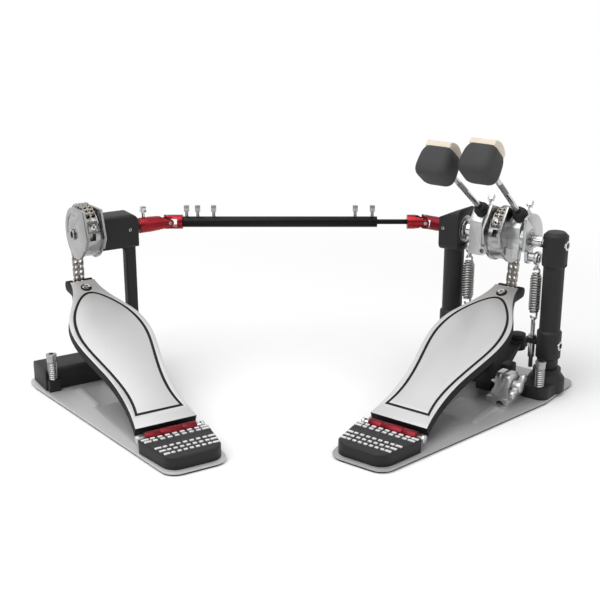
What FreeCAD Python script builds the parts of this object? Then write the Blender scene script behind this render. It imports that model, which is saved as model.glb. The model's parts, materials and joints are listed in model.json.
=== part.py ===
import FreeCAD, Part
import math
import os
from collections import namedtuple

V = FreeCAD.Vector

# Double bass drum pedal: a main pedal with two beaters, a slave pedal and a jointed drive shaft between them.
# Each pedal is modelled in its own frame: x to the drummer's right along the axle, y towards the drum, z up,
# origin on the floor under the middle of the axle. The whole part keeps the main pedal's origin, with X along
# the drive shaft. Lengths are millimetres, angles degrees.

# Shared clearances
overrun = 1.0
touch_gap = 0.3
running_gap = 0.05

# Layout
axle_height = 179.0
axle_radius = 4.75
main_splay_angle = -37.4
slave_splay_angle = 31.0
main_joint_offset = 106.6
slave_joint_offset = 107.6
link_span = 311.4

# Base plates and mats
mat_thickness = 2.0
mat_inset = 1.5
plate_thickness = 2.5
plate_front_margin = 5.0
plate_front_half = 34.0
plate_front_round = 17.0
plate_rear_round = 16.0
main_plate_half = 82.5
main_plate_knee = 36.0
main_plate_rear = 46.0
slave_plate_half = 72.0
slave_plate_knee = 6.0
slave_plate_rear = 24.0
rib_width = 13.0
rib_height = 2.0
main_rib_spread = 44.0
main_rib_near = 140.0
main_rib_far = 82.0
slave_rib_spread = 31.0
slave_rib_near = 103.0
slave_rib_far = 38.0

# Heel plate with rows of raised grip bars
heel_length = 57.0
heel_to_hinge = 7.5
heel_front_half = 30.0
heel_back_half = 40.0
heel_front_round = 16.0
heel_back_round = 2.0
heel_top = 18.5
heel_chamfer = 1.2
grip_height = 1.1
grip_width = 2.8
grip_margin = 1.6
grip_count = 9
grip_row_shares = (0.07, 0.17, 0.50, 0.64, 0.78)
grip_length_share = 0.58
grip_end_share = 0.95

# Hinge between heel plate and footboard
hinge_to_board = 8.7
hinge_height = 15.5
barrel_radius = 6.2
hinge_pin_radius = 2.5
hinge_half = 29.0
middle_half = 12.4
hinge_leaf_length = 20.0
hinge_leaf_thickness = 3.0
hinge_leaf_depth = 6.5
pin_head_radius = 4.2
pin_head_length = 3.0
pin_end = 37.0

# Footboard
board_heel_height = 23.7
main_tilt = 21.1
slave_tilt = 22.1
board_length = 250.0
board_half = 45.5
board_depth = 10.0
board_skin = 4.0
board_wall = 4.5
board_rib = 3.0
pocket_start = 24.0
pocket_end_inset = 28.0
pocket_rib_shares = (0.33, 0.66)
board_side_shares = ((0.0, 0.77), (0.17, 0.672), (0.3, 0.715), (0.45, 0.878),
                     (0.6, 1.0), (0.72, 0.915), (0.85, 0.575), (1.0, 0.33))
groove_inset = 5.2
groove_width = 3.4
groove_depth = 0.8
groove_start = 17.5
groove_crown_inset = 22.0
groove_crown_shares = (0.3, 0.45, 0.6, 0.72, 0.83)
toe_screw_inset = 13.4
toe_screw_radius = 4.6
toe_screw_height = 1.2
toe_ring_radius = 6.4
toe_ring_height = 0.5
toe_pin_inset = -7.0
toe_pin_place = 25.0
toe_pin_depth = 11.0
toe_pin_radius = 1.6
toe_boss_radius = 6.5
toe_boss_half = 15.5
toe_notch_half = 8.4
toe_prong_start = 232.0

# Posts and foot castings
main_post_offset = 64.5
post_radius = 12.0
post_foot = 31.0
collar_radius = 14.2
lower_collar_bottom = 45.0
lower_collar_top = 75.0
collar_bevel = 2.5
upper_collar_drop = 24.5
post_rise = 14.0
post_top_bevel = 4.0
socket_radius = 3.0
socket_depth = 4.0
spring_tongue_height = 63.0
spring_tongue_thickness = 5.0
spring_tongue_half = 6.5
spring_tongue_tip = 36.0
housing_inner = 50.0
housing_outer = 75.5
housing_half = 19.5
housing_drop = 25.0
housing_rise = 25.5
housing_slope = 11.0
housing_round = 8.0
housing_throat = 11.0
foot_inner = 46.0
foot_outer = 82.0
foot_front = 39.0
foot_rear = 17.0
foot_top = 19.0
foot_round = 11.0
foot_bar_front = 32.0
foot_bar_rear = 6.0
foot_bar_top = 15.0
pedestal_radius = 16.0
pedestal_flare = 21.0
pedestal_neck = 26.0

# Slave post casting
slave_post_offset = 56.2
slave_post_half = 6.6
slave_post_depth = 6.2
slave_post_round = 2.5
slave_housing_inner = 17.0
slave_housing_outer = 63.0
slave_housing_half = 15.5
slave_housing_rise = 18.5
slave_housing_drop = 21.5
slave_housing_round = 9.0
slave_housing_edge = 4.0
slave_fillet = 9.0
slave_bar_left = 66.0
slave_bar_right = 72.0
slave_bar_front = 28.0
slave_bar_rear = 15.0
slave_bar_top = 30.0
slave_bar_bevel = 6.0
slave_block_right = 50.0
slave_block_left = 64.0
slave_block_front = 35.0
slave_block_top = 18.0

# Floor spur screws
spur_radius = 4.6
spur_head_radius = 5.8
spur_head_length = 8.0
spur_length = 44.0
spur_tip_height = 4.8
spur_tip_length = 5.0
spur_tip_radius = 1.2
main_spur_offset = 71.0
main_spur_reach = 32.0
slave_spur_offset = 58.0
slave_spur_reach = 30.0

# Bearings
main_bearing_radius = 16.3
slave_bearing_radius = 13.0
bearing_width = 7.0
bearing_inner_race = 8.0
bearing_race = 2.6
bearing_recess = 1.0

# Cam and chain
pitch = 6.35
strand_spacing = 6.0
roller_width = 3.0
link_plate = 0.8
link_gap = 0.1
link_half_height = 2.9
roller_radius = 1.65
chain_pin_radius = 1.15
chain_pin_stub = 0.5
wrap_link_count = 12
loose_link_count = 3
cam_radius = 31.3
main_cam_back = 4.0
main_cam_up = -0.7
main_cam_angle = 16.0
slave_cam_back = -5.0
slave_cam_up = 2.3
slave_cam_angle = 0.0
cam_bed_gap = 0.45
cam_rim_inset = 1.0
cam_plate = 3.2
cam_plate_gap = 8.8
cam_nose = 39.8
cam_crown = 31.7
cam_sole = 20.0
cam_nose_shares = ((-0.74, 1.0), (-1.0, 0.0))
cam_sole_shares = ((-0.78, -0.73), (-0.3, -1.0), (0.61, -0.7))
cam_front = 27.0
cam_front_top = 15.0
cam_front_bottom = 7.0
cam_step = 22.5
cam_slot_half = 3.4
cam_slot_top = 4.0
cam_slot_bottom = 4.5
cam_slot_depth = 10.0
cam_arc_radius = 23.5
cam_arc_width = 2.6
cam_arc_depth = 0.8
cam_arc_reach = 4.0
anchor_half = 5.6
anchor_thickness = 2.2
anchor_top = 18.5
anchor_bottom = 6.5
anchor_screw_radius = 3.2
anchor_screw_height = 1.6
end_link_half = 4.0
end_link_play = 0.65
end_link_shift = 3.1
end_link_rim = 1.0

# Beaters
main_lean_angle = 51.0
left_lean_angle = 54.6
rod_offset = 19.0
rod_radius = 3.2
rod_tail = 14.0
main_beater_offset = 21.2
left_beater_offset = 27.0
hub_front = 14.0
hub_seat = 20.0
hub_seat_reach = 30.5
hub_tail = 5.0
hub_back = 17.0
hub_bottom = 10.5
hub_edge = 1.0
main_hub_outer = 30.4
main_hub_face = 26.2
hub_boss_radius = 14.2
hub_tab_half = 3.4
hub_tab_width = 6.0
hub_tab_offset = 21.8
hub_tab_drop = 21.5
left_hub_inner = 22.0
left_hub_outer = 38.0
left_hub_drop = 25.0
left_boss_offset = 20.6
left_boss_drop = 19.0
left_boss_radius = 5.4
left_boss_length = 12.0
left_boss_bore = 2.7
left_boss_depth = 6.0
hub_key_place = 9.0
cap_length = 10.5
cap_radius = 8.8
cap_tip_radius = 6.0
cap_ring_share = 0.34
cap_step = 1.2
head_reach = 145.0
head_width = 39.0
head_length = 37.0
head_depth = 32.5
head_seam = 10.5
head_round = 9.5
head_section_shares = ((0.0, 0.82), (0.17, 0.94), (0.57, 1.0), (0.85, 0.96), (1.0, 0.78))
head_bore_depth = 27.0
felt_half = 15.0
felt_height_half = 14.6
felt_shoulder = 3.5
felt_crown = 10.5

# Spring mechanism
spring_offset = 43.5
spring_arm = 20.0
arm_plate = 3.8
arm_plate_radius = 30.0
arm_plate_front = 14.0
arm_plate_bottom = 12.0
arm_lug_half = 8.0
arm_hole_radius = 12.0
rotor_bearing_radius = 11.8
rotor_bearing_width = 7.5
arm_pin_radius = 3.5
arm_pin_head_radius = 5.2
arm_pin_head_length = 2.0
rocker_width = 4.0
rocker_radius = 7.6
rocker_drop = 10.8
rocker_neck_half = 3.4
rocker_eye_radius = 1.9
rocker_eye_rim = 1.3
wire_radius = 1.05
coil_radius = 5.6
coil_end_share = 0.62
coil_taper_share = 0.115
coil_pitch = 3.05
spring_hook_radius = 3.6
spring_hook_neck = 2.2
eye_thickness = 2.4
eye_rim = 1.6
eyebolt_radius = 2.6
eyebolt_reach = 22.0
eyebolt_tail = 36.0
sleeve_radius = 4.0
sleeve_length = 18.0
nut_radius = 5.0
nut_height = 4.0

# Hoop clamp
lever_offset = 14.0
lever_half = 9.0
lever_pivot_reach = 26.0
lever_pivot_height = 24.0
lever_pivot_radius = 8.0
lever_pin_radius = 3.0
lever_tail_reach = 60.0
lever_tail_height = 14.0
lever_tail_half = 4.5
lever_pad_reach = 23.0
lever_pad_height = 45.0
lever_pad_half = 4.0
lever_pad_radius = 12.5
pad_radius = 10.0
pad_depth = 5.0
pad_cap_radius = 9.6
pad_cap_height = 6.5
pad_stem_radius = 2.4
ear_width = 9.0
ear_half = 12.0
ear_height = 12.0
bracket_left = 27.5
bracket_right = 55.2
bracket_front = 76.0
bracket_rear = 45.0
bracket_foot = 7.0
bracket_block_left = 36.0
bracket_block_right = 53.0
bracket_block_front = 73.0
bracket_block_rear = 50.0
bracket_top = 40.0
bracket_round = 6.0
bracket_arch = 4.6
bracket_buttress = 30.0
bracket_slot = 4.0
bracket_slot_depth = 9.0
wing_height = 25.0
wing_reach = 61.0
wing_screw_radius = 3.0
wing_tip_end = 25.5
wing_tip_drop = 2.2
wing_start = 54.0
wing_hub_radius = 6.5
wing_hub_length = 9.0
wing_span = 19.0
wing_thickness = 5.0
wing_waist_half = 3.0
wing_lobe_radius = 5.0
wing_angle = 25.0

# Drive shaft and universal joints
yoke_radius = 8.6
yoke_slot_half = 4.9
yoke_arm_half = 4.4
yoke_throat = 12.0
cross_radius = 2.2
cross_core = 4.0
cross_half = 8.4
open_pivot_gap = 0.75
main_yoke_start = 77.2
slave_collar_start = 70.0
slave_collar_end = 84.0
slave_collar_radius = 9.2
drive_left_body = 18.4
drive_right_body = 21.8
tube_radius = 6.5
rod_exposed = 36.2
inner_rod_radius = 3.0
inner_rod_grip = 96.0
key_left_places = (5.0, 18.3, 37.6)
key_right_places = (6.0, 26.6)
key_stem_radius = 1.9
key_stem_length = 6.5
key_head = 6.0
key_head_length = 7.0
collar_key_place = 6.0

# Slave shaft
slave_shaft_left = 12.4
slave_shaft_right = 93.0
end_socket = 6.0
end_socket_depth = 3.0
spacer_radius = 7.0
left_flange_radius = 12.5
left_flange_width = 3.4
left_collar_radius = 8.2
left_shaft_inner = 16.5
left_shaft_outer = 93.0
axle_inner = 14.2
axle_sleeve_radius = 6.6

# Places that follow from the sizes above
plate_top = mat_thickness + plate_thickness
toe_screw_reach = board_length - toe_screw_inset
toe_pin_reach = board_length - toe_pin_inset
board_run = toe_pin_reach * math.cos(math.radians(main_tilt))
board_heel_reach = board_run + toe_pin_depth * math.sin(math.radians(main_tilt)) - toe_pin_place
hinge_reach = board_heel_reach + hinge_to_board
heel_back = hinge_reach + heel_to_hinge
heel_front = heel_back + heel_length
plate_front = heel_front + plate_front_margin
upper_collar_bottom = axle_height - upper_collar_drop
post_top = axle_height + post_rise
housing_bottom = axle_height - housing_drop
housing_top = axle_height + housing_rise

X = V(1, 0, 0)
Y = V(0, 1, 0)
Z = V(0, 0, 1)
ORIGIN = V(0, 0, 0)


def box(x0, x1, y0, y1, z0, z1):
    return Part.makeBox(x1 - x0, y1 - y0, z1 - z0, V(x0, y0, z0))


def rod(radius, start, end):
    run = end.sub(start)
    return Part.makeCylinder(radius, run.Length, start, run)


def cross_rod(radius, x0, x1, y, z):
    """A cylinder along x."""
    return rod(radius, V(x0, y, z), V(x1, y, z))


def joined(shapes):
    return shapes[0].multiFuse(shapes[1:]).removeSplitter()


def on_floor(z):
    return lambda a, b: V(a, b, z)


def on_side(x):
    return lambda a, b: V(x, a, b)


def outline(corners, lift):
    """Closed wire through corners (a, b, radius), each rounded by a tangent arc."""
    starts, arcs, ends = [], [], []
    for i, (a, b, radius) in enumerate(corners):
        here = V(a, b, 0)
        ahead = corners[(i + 1) % len(corners)]
        back = V(corners[i - 1][0], corners[i - 1][1], 0).sub(here).normalize()
        onward = V(ahead[0], ahead[1], 0).sub(here).normalize()
        half_turn = back.getAngle(onward) / 2
        reach = radius / math.tan(half_turn)
        inward = back.add(onward).normalize()
        start = here.add(back * reach)
        end = here.add(onward * reach)
        middle = here.add(inward * (radius / math.sin(half_turn) - radius))
        starts.append(lift(start.x, start.y))
        ends.append(lift(end.x, end.y))
        arcs.append(lift(middle.x, middle.y) if radius else None)
    edges = []
    for i, arc in enumerate(arcs):
        if arc:
            edges.append(Part.Arc(starts[i], arc, ends[i]).toShape())
        edges.append(Part.LineSegment(ends[i], starts[(i + 1) % len(arcs)]).toShape())
    return Part.Wire(edges)


def slab(corners, z0, z1):
    """A plate with rounded corners, extruded upwards."""
    return Part.Face(outline(corners, on_floor(z0))).extrude(Z * (z1 - z0))


def side_slab(corners, x0, x1):
    """A profile in the y-z plane, extruded along x."""
    return Part.Face(outline(corners, on_side(x0))).extrude(X * (x1 - x0))


def rect(a0, a1, b0, b1, radius):
    return [(a0, b0, radius), (a1, b0, radius), (a1, b1, radius), (a0, b1, radius)]


def turned(profile, centre, axis, radial):
    """A solid of revolution from (radius, height) points about an axis through a centre."""
    points = [centre.add(radial * r).add(axis * h) for r, h in profile]
    return Part.Face(Part.makePolygon(points + points[:1])).revolve(centre, axis, 360)


def turned_z(profile, x, y):
    return turned(profile, V(x, y, 0), Z, X)


def turned_x(profile, y, z):
    """A solid of revolution about a line along x, from (radius, x) points."""
    return turned(profile, V(0, y, z), X, Z)


def mirrored(shape):
    return shape.mirror(ORIGIN, X)


# Pedal frames
def turn_plan(x, y, angle):
    c, s = math.cos(math.radians(angle)), math.sin(math.radians(angle))
    return V(c * x - s * y, s * x + c * y, 0)


main_joint = turn_plan(-main_joint_offset, 0, main_splay_angle)
slave_joint = main_joint.sub(X * link_span)
slave_origin = slave_joint.sub(turn_plan(slave_joint_offset, 0, slave_splay_angle))
main_frame = (ORIGIN, main_splay_angle)
slave_frame = (slave_origin, slave_splay_angle)
Pedal = namedtuple("Pedal", "frame tilt cam_back cam_up cam_turn")
main_pedal = Pedal(main_frame, main_tilt, main_cam_back, main_cam_up, main_cam_angle)
slave_pedal = Pedal(slave_frame, slave_tilt, slave_cam_back, slave_cam_up, slave_cam_angle)


def placed(shape, frame):
    origin, angle = frame
    return shape.rotated(ORIGIN, Z, angle).translated(origin)


# Base
def plate_corners(half, knee, rear, inset):
    front = -plate_front + inset
    wide = half - inset
    narrow = plate_front_half - inset
    return [(-narrow, front, plate_front_round), (narrow, front, plate_front_round), (wide, -knee, 0),
            (wide, rear - inset, plate_rear_round), (-wide, rear - inset, plate_rear_round),
            (-wide, -knee, 0)]


def pressed_rib(x, near, far):
    radius = (rib_width ** 2 / 4 + rib_height ** 2) / (2 * rib_height)
    depth = plate_top + rib_height - radius
    near_end = V(x, rib_width / 2 - near, depth)
    far_end = V(x, -far - rib_width / 2, depth)
    balls = [Part.makeSphere(radius, end) for end in (near_end, far_end)]
    ridge = joined([rod(radius, near_end, far_end)] + balls)
    room = box(x - rib_width, x + rib_width, -near - rib_width, rib_width - far,
               plate_top - plate_thickness / 2, plate_top + rib_height + overrun)
    return ridge.common(room)


def base_plate(half, knee, rear, spread, near, far):
    plate = slab(plate_corners(half, knee, rear, 0), mat_thickness, plate_top)
    return joined([plate] + [pressed_rib(x, near, far) for x in (-spread, 0, spread)])


def floor_mat(half, knee, rear):
    return slab(plate_corners(half, knee, rear, mat_inset), 0, mat_thickness)


def heel_half(y):
    share = (-heel_back - y) / (heel_front - heel_back)
    return heel_back_half + share * (heel_front_half - heel_back_half)


def grip_row(y):
    bars = []
    reach = heel_half(y) - grip_margin
    step = 2 * reach / grip_count
    for i in range(grip_count):
        middle = -reach + step * (i + 0.5)
        share = grip_end_share if i in (0, grip_count - 1) else grip_length_share
        half = step * share / 2
        bars.append(box(middle - half, middle + half, y - grip_width / 2, y + grip_width / 2,
                        heel_top - grip_height, heel_top + grip_height))
    return bars


def heel_plate():
    corners = [(-heel_front_half, -heel_front, heel_front_round),
               (heel_front_half, -heel_front, heel_front_round),
               (heel_back_half, -heel_back, heel_back_round),
               (-heel_back_half, -heel_back, heel_back_round)]
    body = slab(corners, plate_top, heel_top)
    rim = [edge for edge in body.Edges if min(v.Z for v in edge.Vertexes) > heel_top - heel_chamfer]
    body = body.makeChamfer(heel_chamfer, rim)
    bars = []
    for share in grip_row_shares:
        bars += grip_row(-heel_back - share * (heel_front - heel_back))
    return joined([body] + bars)


# Hinge
def knuckle(x0, x1, bore):
    barrel = cross_rod(barrel_radius, x0, x1, -hinge_reach, hinge_height)
    leg = box(x0, x1, -hinge_reach - barrel_radius, -hinge_reach + barrel_radius, plate_top, hinge_height)
    hole = cross_rod(bore, x0 - overrun, x1 + overrun, -hinge_reach, hinge_height)
    return joined([barrel, leg]).cut(hole)


def heel_hinge():
    """The two fixed knuckles and the hinge pin with its heads."""
    right = knuckle(middle_half + touch_gap, hinge_half, hinge_pin_radius)
    pin = cross_rod(hinge_pin_radius, -pin_end, pin_end, -hinge_reach, hinge_height)
    heads = [cross_rod(pin_head_radius, x - pin_head_length / 2, x + pin_head_length / 2,
                       -hinge_reach, hinge_height) for x in (-pin_end, pin_end)]
    return [right, mirrored(right), joined([pin] + heads)]


def board_point(u, w, tilt):
    """The y and z of a point on a footboard, u along its top from the heel edge, w above its top face."""
    c, s = math.cos(math.radians(tilt)), math.sin(math.radians(tilt))
    return -board_heel_reach + u * c - w * s, board_heel_height + u * s + w * c


def board_coordinates(y, z, tilt):
    c, s = math.cos(math.radians(tilt)), math.sin(math.radians(tilt))
    dy, dz = y + board_heel_reach, z - board_heel_height
    return dy * c + dz * s, dz * c - dy * s


def on_board(shape, tilt):
    return shape.rotated(ORIGIN, X, tilt).translated(V(0, -board_heel_reach, board_heel_height))


def board_hinge(tilt):
    """The moving knuckle with the leaf that lies in the footboard's heel."""
    u, w = board_coordinates(-hinge_reach, hinge_height, tilt)
    barrel = cross_rod(barrel_radius, -middle_half, middle_half, u, w)
    leaf = box(-middle_half, middle_half, u, hinge_leaf_length, -hinge_leaf_depth - hinge_leaf_thickness,
               -hinge_leaf_depth)
    hole = cross_rod(hinge_pin_radius + running_gap, -middle_half - overrun, middle_half + overrun, u, w)
    return on_board(joined([barrel, leaf]).cut(hole), tilt)


# Footboard
def board_half_at(u):
    share = u / board_length
    for (s0, h0), (s1, h1) in zip(board_side_shares, board_side_shares[1:]):
        if share <= s1:
            return board_half * (h0 + (h1 - h0) * (share - s0) / (s1 - s0))
    return board_half * board_side_shares[-1][1]


def side_curve(points):
    curve = Part.BSplineCurve()
    curve.interpolate(points)
    return curve.toShape()


def board_outline(inset, start, end, z):
    """The footboard's outline drawn in by an inset, between two places along its length."""
    inner = [(u, h) for u, h in ((s * board_length, h * board_half) for s, h in board_side_shares)
             if start < u < end]
    stations = [(start, board_half_at(start))] + inner + [(end, board_half_at(end))]
    right = [V(h - inset, u, z) for u, h in stations]
    left = [V(inset - h, u, z) for u, h in reversed(stations)]
    edges = [side_curve(right), Part.LineSegment(right[-1], left[0]).toShape(),
             side_curve(left), Part.LineSegment(left[-1], right[0]).toShape()]
    return Part.Face(Part.Wire(edges))


def groove_loop(inset):
    """A closed loop that follows the footboard's sides and closes in an arch below the toe screw."""
    heel = groove_start + inset - groove_inset
    crown = board_length - groove_crown_inset - inset + groove_inset
    stations = [(heel, board_half_at(heel))]
    stations += [(share * board_length, board_half_at(share * board_length)) for share in groove_crown_shares]
    right = [V(h - inset, u, 0) for u, h in stations]
    left = [V(inset - h, u, 0) for u, h in reversed(stations)]
    arch = side_curve(right + [V(0, crown, 0)] + left)
    return Part.Face(Part.Wire([arch, Part.LineSegment(left[-1], right[0]).toShape()]))


def board_pocket():
    """The hollow underside, divided by cross ribs."""
    pocket_end = board_length - pocket_end_inset
    floor = board_outline(board_wall, pocket_start, pocket_end, -board_depth - overrun)
    hollow = floor.extrude(Z * (board_depth + overrun - board_skin))
    ribs = []
    for share in pocket_rib_shares:
        u = pocket_start + share * (pocket_end - pocket_start)
        ribs.append(box(-board_half, board_half, u - board_rib / 2, u + board_rib / 2,
                        -board_depth - 2 * overrun, 0))
    return hollow.cut(Part.makeCompound(ribs))


def toe_fork():
    """The two rounded prongs under the toe that hold the chain's pin."""
    low, high = -toe_pin_depth - toe_boss_radius, -toe_pin_depth + toe_boss_radius
    end = toe_pin_reach + toe_boss_radius
    tip = toe_boss_radius - running_gap
    side = side_slab([(toe_prong_start, -board_depth, 0), (toe_pin_reach, low, 0),
                      (end, low, tip), (end, high, tip), (toe_prong_start, high, 0)],
                     toe_notch_half, toe_boss_half)
    return [side, mirrored(side)]


def footboard(tilt):
    """The casting, its toe screw with ring, and the chain's toe pin."""
    body = board_outline(0, 0, board_length, -board_depth).extrude(Z * board_depth)
    body = body.cut(board_pocket())
    groove = groove_loop(groove_inset).cut(groove_loop(groove_inset + groove_width))
    body = body.cut(groove.translated(Z * -groove_depth).extrude(Z * (groove_depth + overrun)))
    leaf_room = box(-middle_half - touch_gap, middle_half + touch_gap,
                    -overrun, hinge_leaf_length + touch_gap, -board_depth - overrun, -hinge_leaf_depth)
    barrel_u, barrel_w = board_coordinates(-hinge_reach, hinge_height, tilt)
    barrel_room = cross_rod(barrel_radius + 2 * touch_gap, -hinge_half - touch_gap, hinge_half + touch_gap,
                            barrel_u, barrel_w)
    body = joined([body] + toe_fork()).cut(leaf_room).cut(barrel_room)
    pin = cross_rod(toe_pin_radius, -toe_boss_half, toe_boss_half, toe_pin_reach, -toe_pin_depth)
    body = body.cut(pin)
    seat = V(0, toe_screw_reach, 0)
    washer = rod(toe_ring_radius, seat, seat.add(Z * toe_ring_height))
    screw = rod(toe_screw_radius, seat.add(Z * toe_ring_height), seat.add(Z * toe_screw_height))
    return on_board(Part.makeCompound([body, washer, screw, pin]), tilt)


# Posts and feet
def post_profile():
    return [(0, post_foot), (post_radius, post_foot), (post_radius, lower_collar_bottom - collar_bevel),
            (collar_radius, lower_collar_bottom), (collar_radius, lower_collar_top),
            (post_radius, lower_collar_top + collar_bevel)]


def spring_tongue():
    """The arm that carries a spring's eyebolt, on the lower collar of a right-hand post."""
    tongue = slab([(spring_tongue_tip, -spring_tongue_half, spring_tongue_half - overrun),
                   (main_post_offset, -spring_tongue_half, 0), (main_post_offset, spring_tongue_half, 0),
                   (spring_tongue_tip, spring_tongue_half, spring_tongue_half - overrun)],
                  spring_tongue_height - spring_tongue_thickness, spring_tongue_height)
    return tongue.cut(rod(eyebolt_radius, V(spring_offset, 0, 0), V(spring_offset, 0, axle_height)))


def main_right_post():
    profile = post_profile() + [(post_radius, upper_collar_bottom - collar_bevel),
                                (collar_radius, upper_collar_bottom),
                                (collar_radius, post_top - post_top_bevel),
                                (collar_radius - post_top_bevel, post_top), (0, post_top)]
    post = joined([turned_z(profile, main_post_offset, 0), spring_tongue()])
    side = main_post_offset + collar_radius
    lower_middle = (lower_collar_bottom + lower_collar_top) / 2
    post = post.cut(cross_rod(axle_radius, 0, side + overrun, 0, axle_height))
    post = post.cut(cross_rod(socket_radius, side - socket_depth, side + overrun, 0, lower_middle))
    return post.cut(cross_rod(socket_radius, side - socket_depth, side + overrun, 0, upper_collar_bottom))


def main_left_post():
    profile = post_profile() + [(post_radius, housing_bottom + overrun), (0, housing_bottom + overrun)]
    post = joined([turned_z(profile, main_post_offset, 0), spring_tongue()])
    front = [(housing_inner, housing_bottom, 0), (housing_inner, housing_top, 0),
             (housing_outer, housing_top - housing_slope, 0), (housing_outer, housing_bottom, 0)]
    block = Part.Face(outline(front, lambda a, b: V(a, -housing_half, b))).extrude(Y * (2 * housing_half))
    sides = side_slab(rect(-housing_half, housing_half, housing_bottom, housing_top, housing_round),
                      housing_inner, housing_outer)
    post = joined([post, block.common(sides)])
    post = post.cut(cross_rod(housing_throat, housing_inner - overrun, housing_outer + overrun,
                              0, axle_height))
    post = post.cut(cross_rod(main_bearing_radius, housing_inner - overrun, housing_inner + bearing_width,
                              0, axle_height))
    return mirrored(post)


def pedestal():
    profile = [(0, plate_top), (pedestal_flare, plate_top), (pedestal_flare, foot_top),
               (pedestal_radius, pedestal_neck), (pedestal_radius, post_foot), (0, post_foot)]
    return turned_z(profile, main_post_offset, 0)


def clamp_ears():
    """Two rounded ears on the foot bar that carry the clamp lever's pivot."""
    ears = []
    near, far = -lever_pivot_reach - ear_half, -lever_pivot_reach + ear_half
    top = lever_pivot_height + ear_height
    for x in (lever_offset + lever_half + touch_gap, lever_offset - lever_half - touch_gap - ear_width):
        ears.append(side_slab([(near, plate_top, 0), (far, plate_top, 0), (far, top, bracket_round),
                               (near, top, bracket_round)], x, x + ear_width))
    return ears


def main_foot():
    """The black casting with a pedestal for each post, the bar between them and the clamp's ears."""
    foot = slab(rect(foot_inner, foot_outer, -foot_front, foot_rear, foot_round), plate_top, foot_top)
    foot = joined([foot, pedestal()])
    foot = foot.cut(rod(spur_radius, V(main_spur_offset, -main_spur_reach, 0),
                        V(main_spur_offset, -main_spur_reach, axle_height)))
    bar = box(-foot_inner - overrun, foot_inner + overrun, -foot_bar_front, -foot_bar_rear, plate_top,
              foot_bar_top)
    lever_room = box(lever_offset - lever_half - touch_gap, lever_offset + lever_half + touch_gap,
                     -plate_front, foot_rear, plate_top, axle_height)
    pin = cross_rod(lever_pin_radius, lever_offset - lever_half - ear_width - touch_gap,
                    lever_offset + lever_half + ear_width + touch_gap, -lever_pivot_reach, lever_pivot_height)
    low_bar = box(lever_offset - lever_half - overrun, lever_offset + lever_half + overrun, -foot_bar_front,
                  -foot_bar_rear, plate_top, lever_tail_height - lever_tail_half - 2 * touch_gap)
    whole = joined([foot, mirrored(foot), bar] + clamp_ears()).cut(lever_room)
    return joined([whole, low_bar, pin])


def slave_post():
    """One casting: foot bar, upright and the housing that carries the slave shaft."""
    bar = side_slab([(-slave_bar_front, plate_top, 0), (slave_bar_rear, plate_top, 0),
                     (slave_bar_rear, slave_bar_top, slave_bar_bevel),
                     (-slave_bar_front, slave_bar_top, slave_bar_bevel)], -slave_bar_left, slave_bar_right)
    block = slab(rect(-slave_block_left, -slave_block_right, -slave_block_front, -slave_bar_front + overrun,
                      overrun), plate_top, slave_block_top)
    spur = rod(spur_radius, V(-slave_spur_offset, -slave_spur_reach, 0),
               V(-slave_spur_offset, -slave_spur_reach, axle_height))
    spur_room = rod(spur_head_radius + touch_gap, V(-slave_spur_offset, -slave_spur_reach, slave_block_top),
                    V(-slave_spur_offset, -slave_spur_reach, axle_height))
    upright = slab(rect(slave_post_offset - slave_post_half, slave_post_offset + slave_post_half,
                        -slave_post_depth, slave_post_depth, slave_post_round), plate_top, axle_height)
    half, low, high = slave_housing_half, axle_height - slave_housing_drop, axle_height + slave_housing_rise
    front = [(slave_housing_inner, low, overrun), (slave_housing_outer, low, overrun),
             (slave_housing_outer, high, slave_housing_round), (slave_housing_inner, high, overrun)]
    housing = Part.Face(outline(front, lambda a, b: V(a, -half, b))).extrude(Y * (2 * half))
    housing = housing.common(side_slab(rect(-half, half, low, high, slave_housing_edge), slave_housing_inner,
                                       slave_housing_outer))
    inner = slave_post_offset - slave_post_half
    depth = slave_post_depth - slave_post_round
    web = box(inner - slave_fillet, inner + slave_post_half, -depth, depth, low - slave_fillet, low + overrun)
    hollow = rod(slave_fillet, V(inner - slave_fillet, -axle_height, low - slave_fillet),
                 V(inner - slave_fillet, axle_height, low - slave_fillet))
    casting = joined([bar, block, upright, housing, web.cut(hollow)])
    throat = cross_rod(axle_radius + cam_plate, 0, slave_housing_outer + overrun, 0, axle_height)
    casting = casting.cut(throat).cut(spur).cut(spur_room)
    for x in (slave_housing_inner, slave_housing_outer - bearing_width):
        casting = casting.cut(cross_rod(slave_bearing_radius, x - overrun if x == slave_housing_inner else x,
                                        x + bearing_width + (0 if x == slave_housing_inner else overrun),
                                        0, axle_height))
    return casting


def spur_screw(x, y):
    """A pointed floor spur with a broad head."""
    head = spur_tip_height + spur_length - spur_head_length
    top = spur_tip_height + spur_length
    return turned_z([(0, spur_tip_height), (spur_tip_radius, spur_tip_height),
                     (spur_radius, spur_tip_height + spur_tip_length), (spur_radius, head),
                     (spur_head_radius, head), (spur_head_radius, top), (0, top)], x, y)


def bearing(x, radius, bore):
    """A ball bearing with a recessed shield between its races."""
    inner, outer = bearing_inner_race, radius - bearing_race
    return turned_x([(bore, x), (inner, x), (inner, x + bearing_recess), (outer, x + bearing_recess),
                     (outer, x), (radius, x), (radius, x + bearing_width), (bore, x + bearing_width)],
                    0, axle_height)


def main_axle():
    """The fixed axle with the sleeve beside the post, and a hexagon socket in its outer end."""
    end = main_post_offset + collar_radius
    side = main_post_offset - collar_radius - touch_gap
    start = main_hub_outer + arm_plate + touch_gap
    axle = turned_x([(0, -axle_inner), (axle_radius, -axle_inner), (axle_radius, start),
                     (axle_sleeve_radius, start), (axle_sleeve_radius, side), (axle_radius, side),
                     (axle_radius, end), (0, end)], 0, axle_height)
    return axle.cut(cross_rod(socket_radius, end - socket_depth, end + overrun, 0, axle_height))


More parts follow.
